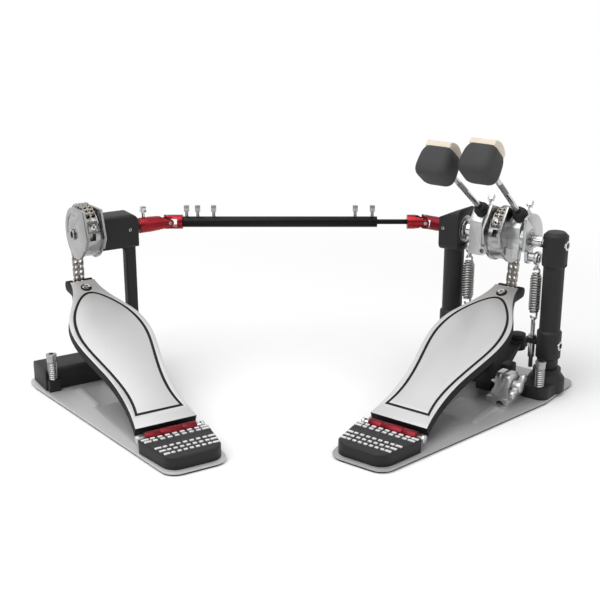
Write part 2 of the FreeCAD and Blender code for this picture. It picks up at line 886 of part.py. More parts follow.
# Chain
def cam_centre(pedal):
    """The middle of the round bed that a pedal's chain wraps."""
    return V(0, pedal.cam_back, axle_height + pedal.cam_up)


def chain_start(pedal):
    """The toe pin and the point where the chain meets the cam, about the cam's own centre."""
    y, z = board_point(toe_pin_reach, -toe_pin_depth, pedal.tilt)
    toe = V(0, y, z).sub(cam_centre(pedal))
    angle = math.atan2(toe.z, toe.y) + math.acos(cam_radius / toe.Length)
    return toe, V(0, cam_radius * math.cos(angle), cam_radius * math.sin(angle))


def straight_count(pedal):
    """How many whole links hang straight between the toe and the cam."""
    toe, touch = chain_start(pedal)
    return int(touch.sub(toe).Length / pitch)


def link_count(pedal):
    """All links of a chain: an even number, so that it ends in an inner link."""
    count = straight_count(pedal) + wrap_link_count
    return count - count % 2


def chain_pins(pedal):
    """The places of every chain pin at rest, from the footboard's toe up and over the cam."""
    pin, touch = chain_start(pedal)
    way = touch.sub(pin).normalize()
    pins = [pin]
    for i in range(link_count(pedal)):
        if i < straight_count(pedal):
            pin = pin.add(way * pitch)
        else:
            d = pin.Length
            step = math.acos((d ** 2 + cam_radius ** 2 - pitch ** 2) / (2 * d * cam_radius))
            place = math.atan2(pin.z, pin.y) + step
            pin = V(0, cam_radius * math.cos(place), cam_radius * math.sin(place))
        pins.append(pin)
    return [pin.add(cam_centre(pedal)) for pin in pins]


def oval(half, length, x0, x1):
    """A plate along x with two straight sides and round ends centred at the origin and a length up z."""
    low, high = V(x0, 0, -half), V(x0, 0, length + half)
    edges = [Part.Arc(V(x0, -half, 0), low, V(x0, half, 0)).toShape(),
             Part.LineSegment(V(x0, half, 0), V(x0, half, length)).toShape(),
             Part.Arc(V(x0, half, length), high, V(x0, -half, length)).toShape(),
             Part.LineSegment(V(x0, -half, length), V(x0, -half, 0)).toShape()]
    return Part.Face(Part.Wire(edges)).extrude(X * (x1 - x0))


def link_plate_solid(x0, x1):
    """An oval link plate between a pin at the origin and the next pin along z."""
    return oval(link_half_height, pitch, x0, x1)


half_strand = strand_spacing / 2
inner_face = roller_width / 2
outer_start = half_strand + inner_face + link_plate + link_gap
chain_half = outer_start + link_plate + chain_pin_stub


def inner_link():
    """Two strands of inner plates on bushes, bored for the pins."""
    pieces = []
    for strand in (-half_strand, half_strand):
        for start in (strand - inner_face - link_plate, strand + inner_face):
            pieces.append(link_plate_solid(start, start + link_plate))
        for z in (0, pitch):
            pieces.append(cross_rod(roller_radius, strand - inner_face, strand + inner_face, 0, z))
    link = Part.makeCompound([joined(pieces[:4]), joined(pieces[4:])])
    for z in (0, pitch):
        link = link.cut(cross_rod(chain_pin_radius + running_gap, -chain_half, chain_half, 0, z))
    return link


def outer_link():
    """Outer and middle plates with the two pins that join the strands."""
    middle = half_strand - inner_face - link_plate - link_gap
    pieces = [link_plate_solid(outer_start, outer_start + link_plate), link_plate_solid(-middle, middle),
              link_plate_solid(-outer_start - link_plate, -outer_start)]
    pieces += [cross_rod(chain_pin_radius, -chain_half, chain_half, 0, z) for z in (0, pitch)]
    return joined(pieces)


def end_link():
    """The toe end piece: an eye drawn out towards the heel for the toe pin, and the first chain pin."""
    inside = toe_pin_radius + end_link_play
    outside = inside + end_link_rim
    eye = side_slab(rect(-end_link_shift - outside, outside, -outside, outside, outside - running_gap),
                    -end_link_half, end_link_half)
    slot = side_slab(rect(-end_link_shift - inside, inside, -inside, inside, inside - running_gap),
                     -chain_half - overrun, chain_half + overrun)
    stem = box(-end_link_half, end_link_half, -roller_radius, roller_radius, inside, pitch - link_half_height)
    return joined([outer_link(), stem, eye]).cut(slot)


def along(link, start, end):
    """A link stood between two chain pins."""
    run = end.sub(start)
    return link.rotated(ORIGIN, X, math.degrees(math.atan2(-run.y, run.z))).translated(start)


def chain(pedal):
    """Every link in order from the toe; even places are outer links, odd places inner links."""
    pins = chain_pins(pedal)
    kinds = (outer_link(), inner_link())
    links = [along(end_link(), pins[0], pins[1])]
    links += [along(kinds[i % 2], pins[i], pins[i + 1]) for i in range(1, link_count(pedal))]
    return links, pins


def cam_outline(x0, x1):
    """The side view of a cam about its own centre: a round back and a straight nose in front."""
    rim = cam_radius - cam_rim_inset
    nose = [(a * cam_nose, b * cam_crown, overrun) for a, b in cam_nose_shares]
    sole = [(a * cam_nose, b * cam_sole, overrun) for a, b in cam_sole_shares]
    skirt = nose + sole + [(rim, 0, 0), (0, rim, 0)]
    return joined([cross_rod(rim, x0, x1, 0, 0), side_slab(skirt, x0, x1)])


def cam_bed():
    """The round bed under the chain, with a flat front for the chain's end plate."""
    half = cam_plate_gap
    drum = cross_rod(cam_radius - link_half_height - cam_bed_gap, -half, half, 0, 0)
    front = box(-half, half, -cam_front, 0, -cam_front_bottom, cam_front_top)
    step = box(-half, half, -cam_step, 0, -cam_sole, -cam_front_bottom)
    slot = box(-cam_slot_half, cam_slot_half, -cam_front - overrun, -cam_front + cam_slot_depth,
               -cam_slot_bottom, cam_slot_top)
    return joined([drum, front, step]).common(cam_outline(-half, half)).cut(slot)


def first_loose(pedal):
    """The first link that bends as the chain leaves the cam, so that each such link keeps its kind."""
    first = straight_count(pedal) + 1
    return first + (first + loose_link_count + 1) % 2


def on_cam(shape, pedal):
    """Something made about a cam's own centre, turned and moved to its place on the axle."""
    return shape.rotated(ORIGIN, X, -pedal.cam_turn).translated(cam_centre(pedal))


def chain_anchor(pedal, end):
    """The plate, straps and screw that hold the chain's end on the front of the cam."""
    back = -cam_front
    last = FreeCAD.Rotation(X, pedal.cam_turn).multVec(end.sub(cam_centre(pedal)))
    plate = box(-anchor_half, anchor_half, back - anchor_thickness, back, anchor_bottom, anchor_top)
    eye = cross_rod(chain_pin_radius, -chain_half, chain_half, last.y, last.z)
    middle = (anchor_bottom + anchor_top) / 2
    screw = rod(anchor_screw_radius, V(0, back - anchor_thickness - anchor_screw_height, middle),
                V(0, back - anchor_thickness, middle))
    foot = V(0, back - anchor_thickness / 2, anchor_bottom + link_half_height)
    centre_gap = half_strand - inner_face - link_plate - link_gap
    straps = [along(oval(link_half_height, foot.sub(last).Length, x0, x1), last, foot)
              for x0, x1 in ((-centre_gap, centre_gap), (outer_start, outer_start + link_plate),
                             (-outer_start - link_plate, -outer_start))]
    return on_cam(joined([joined([plate, eye] + straps).cut(cam_bed()), screw]), pedal)


def cam(pedal, bore):
    """Two side plates, each with a shallow arc in its face, and the bed that the chain wraps."""
    inner, outer = cam_plate_gap, cam_plate_gap + cam_plate
    plate = cam_outline(inner, outer)
    ring = cross_rod(cam_arc_radius, outer - cam_arc_depth, outer + overrun, 0, 0)
    ring = ring.cut(cross_rod(cam_arc_radius - cam_arc_width, outer - cam_arc_depth, outer + overrun, 0, 0))
    arc = ring.common(box(inner, outer + overrun, -cam_arc_reach, cam_radius, -cam_arc_reach, cam_radius))
    plate = plate.cut(arc)
    whole = on_cam(joined([cam_bed(), plate, mirrored(plate)]), pedal)
    return whole.cut(cross_rod(bore, -outer - overrun, outer + overrun, 0, axle_height))


# Beaters
Beater = namedtuple("Beater", "x lean")
main_beater = Beater(main_beater_offset, math.radians(main_lean_angle))
left_beater = Beater(-left_beater_offset, math.radians(left_lean_angle))


def rod_way(beater):
    return V(0, -math.sin(beater.lean), math.cos(beater.lean))


def rod_side(beater):
    return V(0, math.cos(beater.lean), math.sin(beater.lean))


def beside_rod(beater, reach, t):
    """A point in the rod's plane, by its reach from the axle across the rod and t along it."""
    return V(beater.x, 0, axle_height).add(rod_side(beater) * reach).add(rod_way(beater) * t)


def rod_point(beater, t):
    """A point on a beater rod's axis, t along it from the point nearest the axle."""
    return beside_rod(beater, rod_offset, t)


def hub_block(beater, x0, x1):
    """A block with a flat front, a seat square to the rod and a back along the rod."""
    start = (hub_seat * math.sin(beater.lean) - hub_front) / math.cos(beater.lean)
    seat_front = beside_rod(beater, start, hub_seat)
    seat_back = beside_rod(beater, hub_seat_reach, hub_seat)
    tail = beside_rod(beater, hub_seat_reach, -hub_tail)
    low = axle_height - hub_bottom
    corners = [(-hub_front, low, hub_edge), (seat_front.y, seat_front.z, hub_edge),
               (seat_back.y, seat_back.z, hub_edge), (tail.y, tail.z, hub_edge),
               (hub_back, axle_height, hub_edge), (hub_back / 2, low, hub_edge)]
    return side_slab(corners, x0, x1)


def rod_hole(beater):
    return rod(rod_radius, rod_point(beater, -rod_tail), rod_point(beater, head_reach))


def hub_key(beater):
    """The square-headed screw that clamps a rod, standing on the back of its hub."""
    key = square_key(ORIGIN).rotated(ORIGIN, X, math.degrees(beater.lean) - 90)
    return key.translated(beside_rod(beater, hub_seat_reach, hub_key_place))


def main_beater_hub():
    """The hub beside the cam, with its tab, its rod's screw and the seat for the rotor bearing."""
    start = cam_plate_gap + cam_plate
    block = hub_block(main_beater, start, main_hub_face)
    tab = box(hub_tab_offset - hub_tab_half, hub_tab_offset + hub_tab_half, -hub_front,
              -hub_front + hub_tab_width, axle_height - hub_tab_drop, axle_height)
    boss = cross_rod(hub_boss_radius, start, main_hub_outer, 0, axle_height)
    seat = cross_rod(rotor_bearing_radius, main_hub_outer + arm_plate - rotor_bearing_width,
                     main_hub_outer + overrun, 0, axle_height)
    bore = cross_rod(axle_radius + running_gap, start - overrun, main_hub_outer + overrun, 0, axle_height)
    body = joined([block, tab, boss]).cut(seat).cut(bore).cut(rod_hole(main_beater))
    return [body, hub_key(main_beater)]


def left_beater_hub():
    """The second beater's hub: its clamping boss, its rod's screw and the drop that holds its spring pin."""
    block = hub_block(left_beater, -left_hub_outer, -left_hub_inner)
    drop = side_slab(rect(-hub_front, arm_lug_half, axle_height - left_hub_drop, axle_height, hub_edge),
                     -left_hub_outer, -left_hub_inner)
    bore = cross_rod(axle_radius, -left_hub_outer - overrun, -left_hub_inner + overrun, 0, axle_height)
    face = V(-left_boss_offset, -hub_front, axle_height - left_boss_drop)
    boss = rod(left_boss_radius, face, face.add(Y * left_boss_length))
    socket = rod(left_boss_bore, face, face.add(Y * left_boss_depth))
    body = joined([block, drop, boss]).cut(bore).cut(socket).cut(rod_hole(left_beater))
    return [joined([body, spring_pin(left_hub_outer, -1)]), hub_key(left_beater)]


def hub_cap(beater):
    """A stepped conical cap that the beater rod passes through."""
    ring = cap_length * cap_ring_share
    profile = [(rod_radius, 0), (cap_radius, 0), (cap_radius, ring), (cap_radius - cap_step, ring + cap_step),
               (cap_tip_radius, cap_length), (rod_radius, cap_length)]
    return turned(profile, rod_point(beater, hub_seat), rod_way(beater), X)


def beater_rod(beater):
    return rod(rod_radius, rod_point(beater, -rod_tail),
               rod_point(beater, head_reach - head_length / 2 + head_bore_depth))


def on_head(shape, beater):
    turn = 90 + math.degrees(beater.lean)
    return shape.rotated(ORIGIN, X, turn).translated(rod_point(beater, head_reach))


def beater_head(beater):
    """A pillow-shaped rubber block, narrower towards the felt and at its back."""
    wires = []
    for depth_share, size_share in head_section_shares:
        half, long_half = size_share * head_width / 2, size_share * head_length / 2
        wires.append(outline(rect(-half, half, -long_half, long_half, size_share * head_round),
                             on_floor(depth_share * head_depth - head_seam)))
    return on_head(Part.makeLoft(wires, True, False), beater).cut(beater_rod(beater))


def beater_felt(beater):
    """A felt pad with a curved striking face."""
    back = -head_seam
    shoulder = back - felt_shoulder
    a = V(-felt_half, -felt_height_half, back)
    b = V(-felt_half, felt_height_half, back)
    c = V(-felt_half, felt_height_half, shoulder)
    crown = V(-felt_half, 0, back - felt_crown)
    d = V(-felt_half, -felt_height_half, shoulder)
    edges = [Part.LineSegment(a, b).toShape(), Part.LineSegment(b, c).toShape(),
             Part.Arc(c, crown, d).toShape(), Part.LineSegment(d, a).toShape()]
    return on_head(Part.Face(Part.Wire(edges)).extrude(X * (2 * felt_half)), beater)


# Spring mechanism
rocker_start = spring_offset - rocker_width / 2
rocker_end = spring_offset + rocker_width / 2
pin_height = axle_height - spring_arm


def spring_pin(start, side):
    """The pin that a spring rocker swings on, with its retaining head."""
    x1 = rocker_end + touch_gap
    shank = cross_rod(arm_pin_radius, start - overrun, x1, 0, pin_height)
    shoulder = cross_rod(arm_pin_head_radius, start, rocker_start - touch_gap, 0, pin_height)
    head = cross_rod(arm_pin_head_radius, x1, x1 + arm_pin_head_length, 0, pin_height)
    pin = joined([shank, shoulder, head])
    return pin if side > 0 else mirrored(pin)


def main_rocker_arm():
    """The round side plate of the rotor, with the lug and pin for the spring."""
    x0, x1 = main_hub_outer, main_hub_outer + arm_plate
    disc = cross_rod(arm_plate_radius, x0, x1, 0, axle_height)
    keep = box(x0, x1, -arm_plate_front, arm_plate_radius + overrun, axle_height - arm_plate_bottom,
               axle_height + arm_plate_radius + overrun)
    lug = side_slab([(-arm_lug_half, axle_height, 0), (arm_lug_half, axle_height, 0),
                     (arm_lug_half, pin_height - arm_lug_half, arm_lug_half - overrun),
                     (-arm_lug_half, pin_height - arm_lug_half, arm_lug_half - overrun)], x0, x1)
    hole = cross_rod(arm_hole_radius, x0 - overrun, x1 + overrun, 0, axle_height)
    plate = joined([disc.common(keep), lug]).cut(hole)
    return joined([plate, spring_pin(x1, 1)])


def rotor_bearing():
    x0 = main_hub_outer + arm_plate - rotor_bearing_width
    x1 = main_hub_outer + arm_plate
    inner, outer = bearing_inner_race, rotor_bearing_radius - bearing_race
    bore = axle_radius + running_gap
    return turned_x([(bore, x0), (rotor_bearing_radius, x0), (rotor_bearing_radius, x1), (outer, x1),
                     (outer, x1 - bearing_recess), (inner, x1 - bearing_recess), (inner, x1), (bore, x1)],
                    0, axle_height)


top_eye = pin_height - rocker_drop
bottom_eye = spring_tongue_height + eyebolt_reach
hook_top = top_eye - rocker_eye_radius + wire_radius + touch_gap
hook_bottom = bottom_eye + rocker_eye_radius - wire_radius - touch_gap
coil_top = hook_top - spring_hook_radius - spring_hook_neck
coil_turn_count = int((coil_top - hook_bottom - spring_hook_radius - spring_hook_neck) / coil_pitch)
coil_taper = coil_taper_share * coil_turn_count
coil_bottom = coil_top - coil_turn_count * coil_pitch


def spring_rocker(side):
    """A ring on the spring pin with a neck down to the eye that holds the spring's hook."""
    low = top_eye - rocker_eye_radius - rocker_eye_rim
    ring = cross_rod(rocker_radius, rocker_start, rocker_end, 0, pin_height)
    neck = side_slab([(-rocker_neck_half, pin_height, 0), (rocker_neck_half, pin_height, 0),
                      (rocker_neck_half, low, rocker_neck_half - touch_gap),
                      (-rocker_neck_half, low, rocker_neck_half - touch_gap)], rocker_start, rocker_end)
    slim = rocker_width / 2 - wire_radius
    trims = [box(x, x + slim, -rocker_radius, rocker_radius, low - overrun, top_eye + spring_hook_radius)
             for x in (rocker_start, rocker_end - slim)]
    bore = cross_rod(arm_pin_radius + running_gap, 0, rocker_end + overrun, 0, pin_height)
    eye = cross_rod(rocker_eye_radius, 0, rocker_end + overrun, 0, top_eye)
    rocker = joined([ring, neck]).cut(Part.makeCompound(trims)).cut(bore).cut(eye)
    return rocker if side > 0 else mirrored(rocker)


def biarc(p0, t0, p1, t1):
    """Two tangent arcs from one point and direction to another."""
    v = p1.sub(p0)
    t = t0.add(t1)
    a = 2 * (1 - t0.dot(t1))
    b = v.dot(t)
    reach = v.dot(v) / (2 * b) if a < 1e-9 else (math.sqrt(b * b + a * v.dot(v)) - b) / a
    q0 = p0.add(t0 * reach)
    q1 = p1.sub(t1 * reach)
    joint = q0.add(q1) * 0.5
    return [bend(p0, q0, joint), bend(joint, q1, p1)]


def bend(start, apex, end):
    """The arc that is tangent to both lines from its apex, or a line where they run straight on."""
    middle = start.add(end) * 0.5
    rise = apex.sub(middle)
    half = end.sub(start).Length / 2
    if rise.Length < half * 1e-5:
        return Part.LineSegment(start, end).toShape()
    turn = math.atan2(rise.Length, half)
    return Part.Arc(start, middle.add(rise.normalize() * (half * math.tan(turn / 2))), end).toShape()


def coil_place(turn):
    """A point on the coil and the direction of the wire there, counted in turns from its lower end."""
    taper = min(1, turn / coil_taper, (coil_turn_count - turn) / coil_taper)
    radius = coil_radius * (coil_end_share + (1 - coil_end_share) * taper)
    angle = 2 * math.pi * turn
    point = V(radius * math.cos(angle), radius * math.sin(angle), coil_bottom + coil_pitch * turn)
    way = V(-radius * math.sin(angle), radius * math.cos(angle), coil_pitch / (2 * math.pi)).normalize()
    return point, way


def spring_stations():
    """Points and directions along one spring's wire, from its lower hook to its upper hook."""
    r = spring_hook_radius
    low, high = hook_bottom + r, hook_top - r
    stations = [(V(-r, 0, low + wire_radius), -Z), (V(-r, 0, low), -Z), (V(0, 0, low - r), X),
                (V(r, 0, low), Z)]
    stations += [coil_place(i / 4) for i in range(4 * coil_turn_count + 1)]
    stations += [(V(r, 0, high), Z), (V(0, 0, high + r), -X), (V(-r, 0, high), -Z),
                 (V(-r, 0, high - wire_radius), -Z)]
    return stations


def spring():
    """One unbroken tube of wire: hook, tapered coil, hook."""
    stations = spring_stations()
    edges = []
    for (p0, t0), (p1, t1) in zip(stations, stations[1:]):
        edges += biarc(p0, t0, p1, t1)
    start, way = stations[0]
    section = Part.Wire(Part.makeCircle(wire_radius, start, way))
    return Part.Wire(edges).makePipeShell([section], True, False)


def spring_gap():
    """The least distance between turns of the spring's wire, less the wire."""
    places = [coil_place(i / 12)[0] for i in range(12 * coil_turn_count + 1)]
    least = min(p.distanceToPoint(q) for i, p in enumerate(places) for q in places[i + 6:])
    return least - 2 * wire_radius


def placed_spring(side):
    coil = spring()
    return coil.translated(X * spring_offset * side)


def eyebolt(side):
    """The eyebolt that holds a spring's lower hook, with its tension sleeve and lock nut on the tongue."""
    radius = rocker_eye_radius + eye_rim
    x = spring_offset
    low = spring_tongue_height - eyebolt_tail
    neck = bottom_eye - rocker_eye_radius - eye_rim / 2
    shank = rod(eyebolt_radius - running_gap, V(x, 0, low), V(x, 0, neck))
    eye = cross_rod(radius, x - eye_thickness / 2, x + eye_thickness / 2, 0, bottom_eye)
    bolt = joined([shank, eye]).cut(cross_rod(rocker_eye_radius, x - 2 * eye_thickness, x + 2 * eye_thickness,
                                              0, bottom_eye))
    under = spring_tongue_height - spring_tongue_thickness
    sleeve = rod(sleeve_radius, V(x, 0, under - sleeve_length), V(x, 0, under))
    nut = hexagon(V(x, 0, spring_tongue_height), Z, nut_radius, nut_height)
    bore = rod(eyebolt_radius, V(x, 0, 0), V(x, 0, axle_height))
    pieces = [bolt, sleeve.cut(bore), nut.cut(bore)]
    return pieces if side > 0 else [mirrored(piece) for piece in pieces]


def hexagon(base, axis, radius, height):
    side = X if abs(axis.z) > 0 else Z
    other = axis.cross(side)
    turns = [math.pi * i / 3 for i in range(6)]
    points = [base.add((side * math.cos(turn) + other * math.sin(turn)) * radius) for turn in turns]
    return Part.Face(Part.makePolygon(points + points[:1])).extrude(axis * height)


# Left shaft of the second beater
def left_shaft():
    """The second beater's shaft with the flange that faces the housing's bearing."""
    flange = housing_inner - touch_gap
    return turned_x([(0, -left_shaft_inner), (axle_radius, -left_shaft_inner), (axle_radius, -left_hub_outer),
                     (left_collar_radius, -left_hub_outer), (left_collar_radius, -flange + left_flange_width),
                     (left_flange_radius, -flange + left_flange_width / 2), (left_flange_radius, -flange),
                     (axle_radius, -flange), (axle_radius, -left_shaft_outer), (0, -left_shaft_outer)],
                    0, axle_height)


def slave_shaft():
    """The slave pedal's shaft with a socket in its end, the spacer beside the cam and the collar's screw."""
    outer = cam_plate_gap + cam_plate
    half = end_socket / 2
    shaft = cross_rod(axle_radius, -slave_shaft_left, slave_shaft_right, 0, axle_height)
    spacer = cross_rod(spacer_radius, outer, slave_housing_inner - touch_gap, 0, axle_height)
    socket = box(-slave_shaft_left - overrun, -slave_shaft_left + end_socket_depth, -half, half,
                 axle_height - half, axle_height + half)
    key = square_key(V(slave_collar_start + collar_key_place, 0, axle_height + slave_collar_radius))
    return [joined([shaft, spacer]).cut(socket), key]


# Universal joints: each yoke is modelled with its joint centre at the origin and its fork along +x
def yoke(body_length, arms_along_z, bore):
    """A fork on a round body, its two arms bored for a trunnion."""
    start = -yoke_throat - body_length
    blank = cross_rod(yoke_radius, start, yoke_arm_half, 0, 0)
    slot = box(-yoke_throat, yoke_arm_half + overrun, -yoke_radius, yoke_radius,
               -yoke_slot_half, yoke_slot_half)
    tip = Part.Face(outline([(-yoke_throat, -yoke_radius, 0), (-yoke_throat + overrun, -yoke_radius, 0),
                             (-yoke_arm_half, -yoke_arm_half, overrun), (yoke_arm_half, -yoke_arm_half,
                              yoke_arm_half - overrun / 10), (yoke_arm_half, yoke_arm_half,
                              yoke_arm_half - overrun / 10), (-yoke_arm_half, yoke_arm_half, overrun),
                             (-yoke_throat + overrun, yoke_radius, 0), (-yoke_throat, yoke_radius, 0)],
                            on_floor(-yoke_radius))).extrude(Z * (2 * yoke_radius))
    body = box(start, -yoke_throat, -yoke_radius, yoke_radius, -yoke_radius, yoke_radius)
    fork = blank.common(joined([tip, body])).cut(slot)
    fork = fork.cut(rod(bore, V(0, 0, -2 * yoke_radius), V(0, 0, 2 * yoke_radius)))
    return fork if arms_along_z else fork.rotated(ORIGIN, X, 90)


def cross():
    """The four-armed centre of a universal joint."""
    core = box(-cross_core, cross_core, -cross_core, cross_core, -cross_core, cross_core)
    ball = Part.makeSphere(cross_core * math.sqrt(2))
    arms = [rod(cross_radius, way * -cross_half, way * cross_half) for way in (Y, Z)]
    return joined([core.common(ball)] + arms)


fitted_bore = cross_radius + running_gap
open_bore = cross_radius + open_pivot_gap


def main_yoke():
    body = main_joint_offset - yoke_throat - main_yoke_start
    fork = yoke(body, True, open_bore).rotated(ORIGIN, Z, 180)
    fork = fork.translated(V(-main_joint_offset, 0, axle_height))
    return fork.cut(cross_rod(axle_radius, -left_shaft_outer, 0, 0, axle_height))


def square_key(base):
    """A square-headed clamping screw standing on a surface."""
    stem = rod(key_stem_radius, base, base.add(Z * key_stem_length))
    half = key_head / 2
    top = base.z + key_stem_length
    return joined([stem, box(base.x - half, base.x + half, base.y - half, base.y + half, top,
                             top + key_head_length)])


def slave_yoke():
    """The clamp collar, taper and fork on the slave shaft."""
    throat = slave_joint_offset - yoke_throat
    fork = yoke(throat - slave_collar_end, False, fitted_bore)
    fork = fork.translated(V(slave_joint_offset, 0, axle_height))
    collar = turned_x([(0, slave_collar_start), (slave_collar_radius, slave_collar_start),
                       (slave_collar_radius, slave_collar_end), (yoke_radius, throat), (0, throat)],
                      0, axle_height)
    return joined([collar, fork]).cut(cross_rod(axle_radius, 0, slave_shaft_right, 0, axle_height))


def drive_yokes():
    left = yoke(drive_left_body - yoke_throat, True, open_bore).rotated(ORIGIN, Z, 180)
    right = yoke(drive_right_body - yoke_throat, False, fitted_bore)
    lift = Z * axle_height
    return [left.translated(slave_joint.add(lift)), right.translated(main_joint.add(lift))]


tube_start = slave_joint.x + drive_left_body
tube_end = main_joint.x - drive_right_body - rod_exposed
drive_line = slave_joint.y


def drive_tube():
    tube = cross_rod(tube_radius, tube_start, tube_end, drive_line, axle_height)
    grip = inner_rod_grip + overrun
    return tube.cut(cross_rod(inner_rod_radius, tube_end - grip, tube_end + overrun, drive_line, axle_height))


def drive_rod():
    return cross_rod(inner_rod_radius, tube_end - inner_rod_grip, main_joint.x - drive_right_body, drive_line,
                     axle_height)


def key_screws():
    places = [tube_start + place for place in key_left_places]
    places += [tube_end - place for place in key_right_places]
    return [square_key(V(x, drive_line, axle_height + tube_radius)) for x in places]


# Hoop clamp
def clamp_lever():
    """The pivoted lever: a low tail under the wing bolt's tip and a raised jaw over the hoop."""
    x0, x1 = lever_offset - lever_half, lever_offset + lever_half
    arm = side_slab([(-lever_tail_reach, lever_tail_height - lever_tail_half, overrun),
                     (-lever_pivot_reach, lever_pivot_height - lever_pivot_radius, overrun),
                     (lever_pad_reach - lever_pad_radius, lever_pad_height - lever_pad_half, overrun),
                     (lever_pad_reach, lever_pad_height - lever_pad_half, overrun),
                     (lever_pad_reach, lever_pad_height + lever_pad_half, overrun),
                     (-lever_pivot_reach, lever_pivot_height + lever_pivot_radius, overrun),
                     (-lever_tail_reach, lever_tail_height + lever_tail_half, overrun)], x0, x1)
    boss = rod(lever_pad_radius, V(lever_offset, lever_pad_reach, lever_pad_height - lever_pad_half),
               V(lever_offset, lever_pad_reach, lever_pad_height + lever_pad_half))
    bore = cross_rod(lever_pin_radius + running_gap, x0 - overrun, x1 + overrun, -lever_pivot_reach,
                     lever_pivot_height)
    stem = rod(pad_stem_radius, V(lever_offset, lever_pad_reach, 0),
               V(lever_offset, lever_pad_reach, axle_height))
    return joined([arm, boss]).cut(bore).cut(stem)


def clamp_pad():
    """The rubber pressure pad under the jaw, its stem and the stepped cap above."""
    low = lever_pad_height - lever_pad_half
    high = lever_pad_height + lever_pad_half
    return turned_z([(0, low - pad_depth), (pad_radius, low - pad_depth), (pad_radius, low),
                     (pad_stem_radius, low), (pad_stem_radius, high), (pad_cap_radius, high),
                     (pad_cap_radius, high + pad_cap_height), (0, high + pad_cap_height)],
                    lever_offset, lever_pad_reach)


def clamp_bracket():
    """The bright casting on the base plate that the wing bolt screws through."""
    base = slab(rect(bracket_left, bracket_right, -bracket_front, -bracket_rear, overrun), plate_top,
                plate_top + bracket_foot)
    block = side_slab([(-bracket_block_front, plate_top, 0), (-bracket_block_rear, plate_top, 0),
                       (-bracket_block_rear, bracket_top, bracket_round),
                       (-bracket_block_front, bracket_top, bracket_round)], bracket_block_left,
                      bracket_block_right)
    rise = [(bracket_left, plate_top, 0), (bracket_block_right, plate_top, 0),
            (bracket_block_right, bracket_buttress, 0), (bracket_block_left, bracket_buttress, 0),
            (bracket_left, plate_top + bracket_foot, 0)]
    inset = bracket_block_front - bracket_round
    buttress = Part.Face(outline(rise, lambda a, b: V(a, -inset, b))).extrude(
        Y * (inset - bracket_block_rear - bracket_round))
    middle = (bracket_block_left + bracket_block_right) / 2
    arch = rod(bracket_arch, V(middle, -bracket_front, plate_top), V(middle, -bracket_rear, plate_top))
    slot = box(middle - bracket_slot / 2, middle + bracket_slot / 2, -bracket_front, -bracket_rear,
               bracket_top - bracket_slot_depth, bracket_top + overrun)
    screw = cross_rod(wing_screw_radius + running_gap, bracket_left - overrun, bracket_right + overrun,
                      -wing_reach, wing_height)
    return joined([base, block, buttress]).cut(slot).cut(arch).cut(screw)


def clamp_wing_bolt():
    """A side wing bolt: screw with a tapered tip, hub and two lobed wings."""
    end = wing_start + wing_hub_length
    screw = turned_x([(0, wing_tip_end), (wing_screw_radius - wing_tip_drop, wing_tip_end),
                      (wing_screw_radius, wing_tip_end + 2 * wing_tip_drop), (wing_screw_radius, wing_start),
                      (wing_hub_radius, wing_start), (wing_hub_radius, end), (0, end)], 0, 0)
    x0 = wing_start + (wing_hub_length - wing_thickness) / 2
    bar = box(x0, x0 + wing_thickness, -wing_span + wing_lobe_radius, wing_span - wing_lobe_radius,
              -wing_waist_half, wing_waist_half)
    lobes = [cross_rod(wing_lobe_radius, x0, x0 + wing_thickness, y, 0)
             for y in (wing_lobe_radius - wing_span, wing_span - wing_lobe_radius)]
    bolt = joined([screw, bar] + lobes)
    return bolt.rotated(ORIGIN, X, wing_angle).translated(V(0, -wing_reach, wing_height))


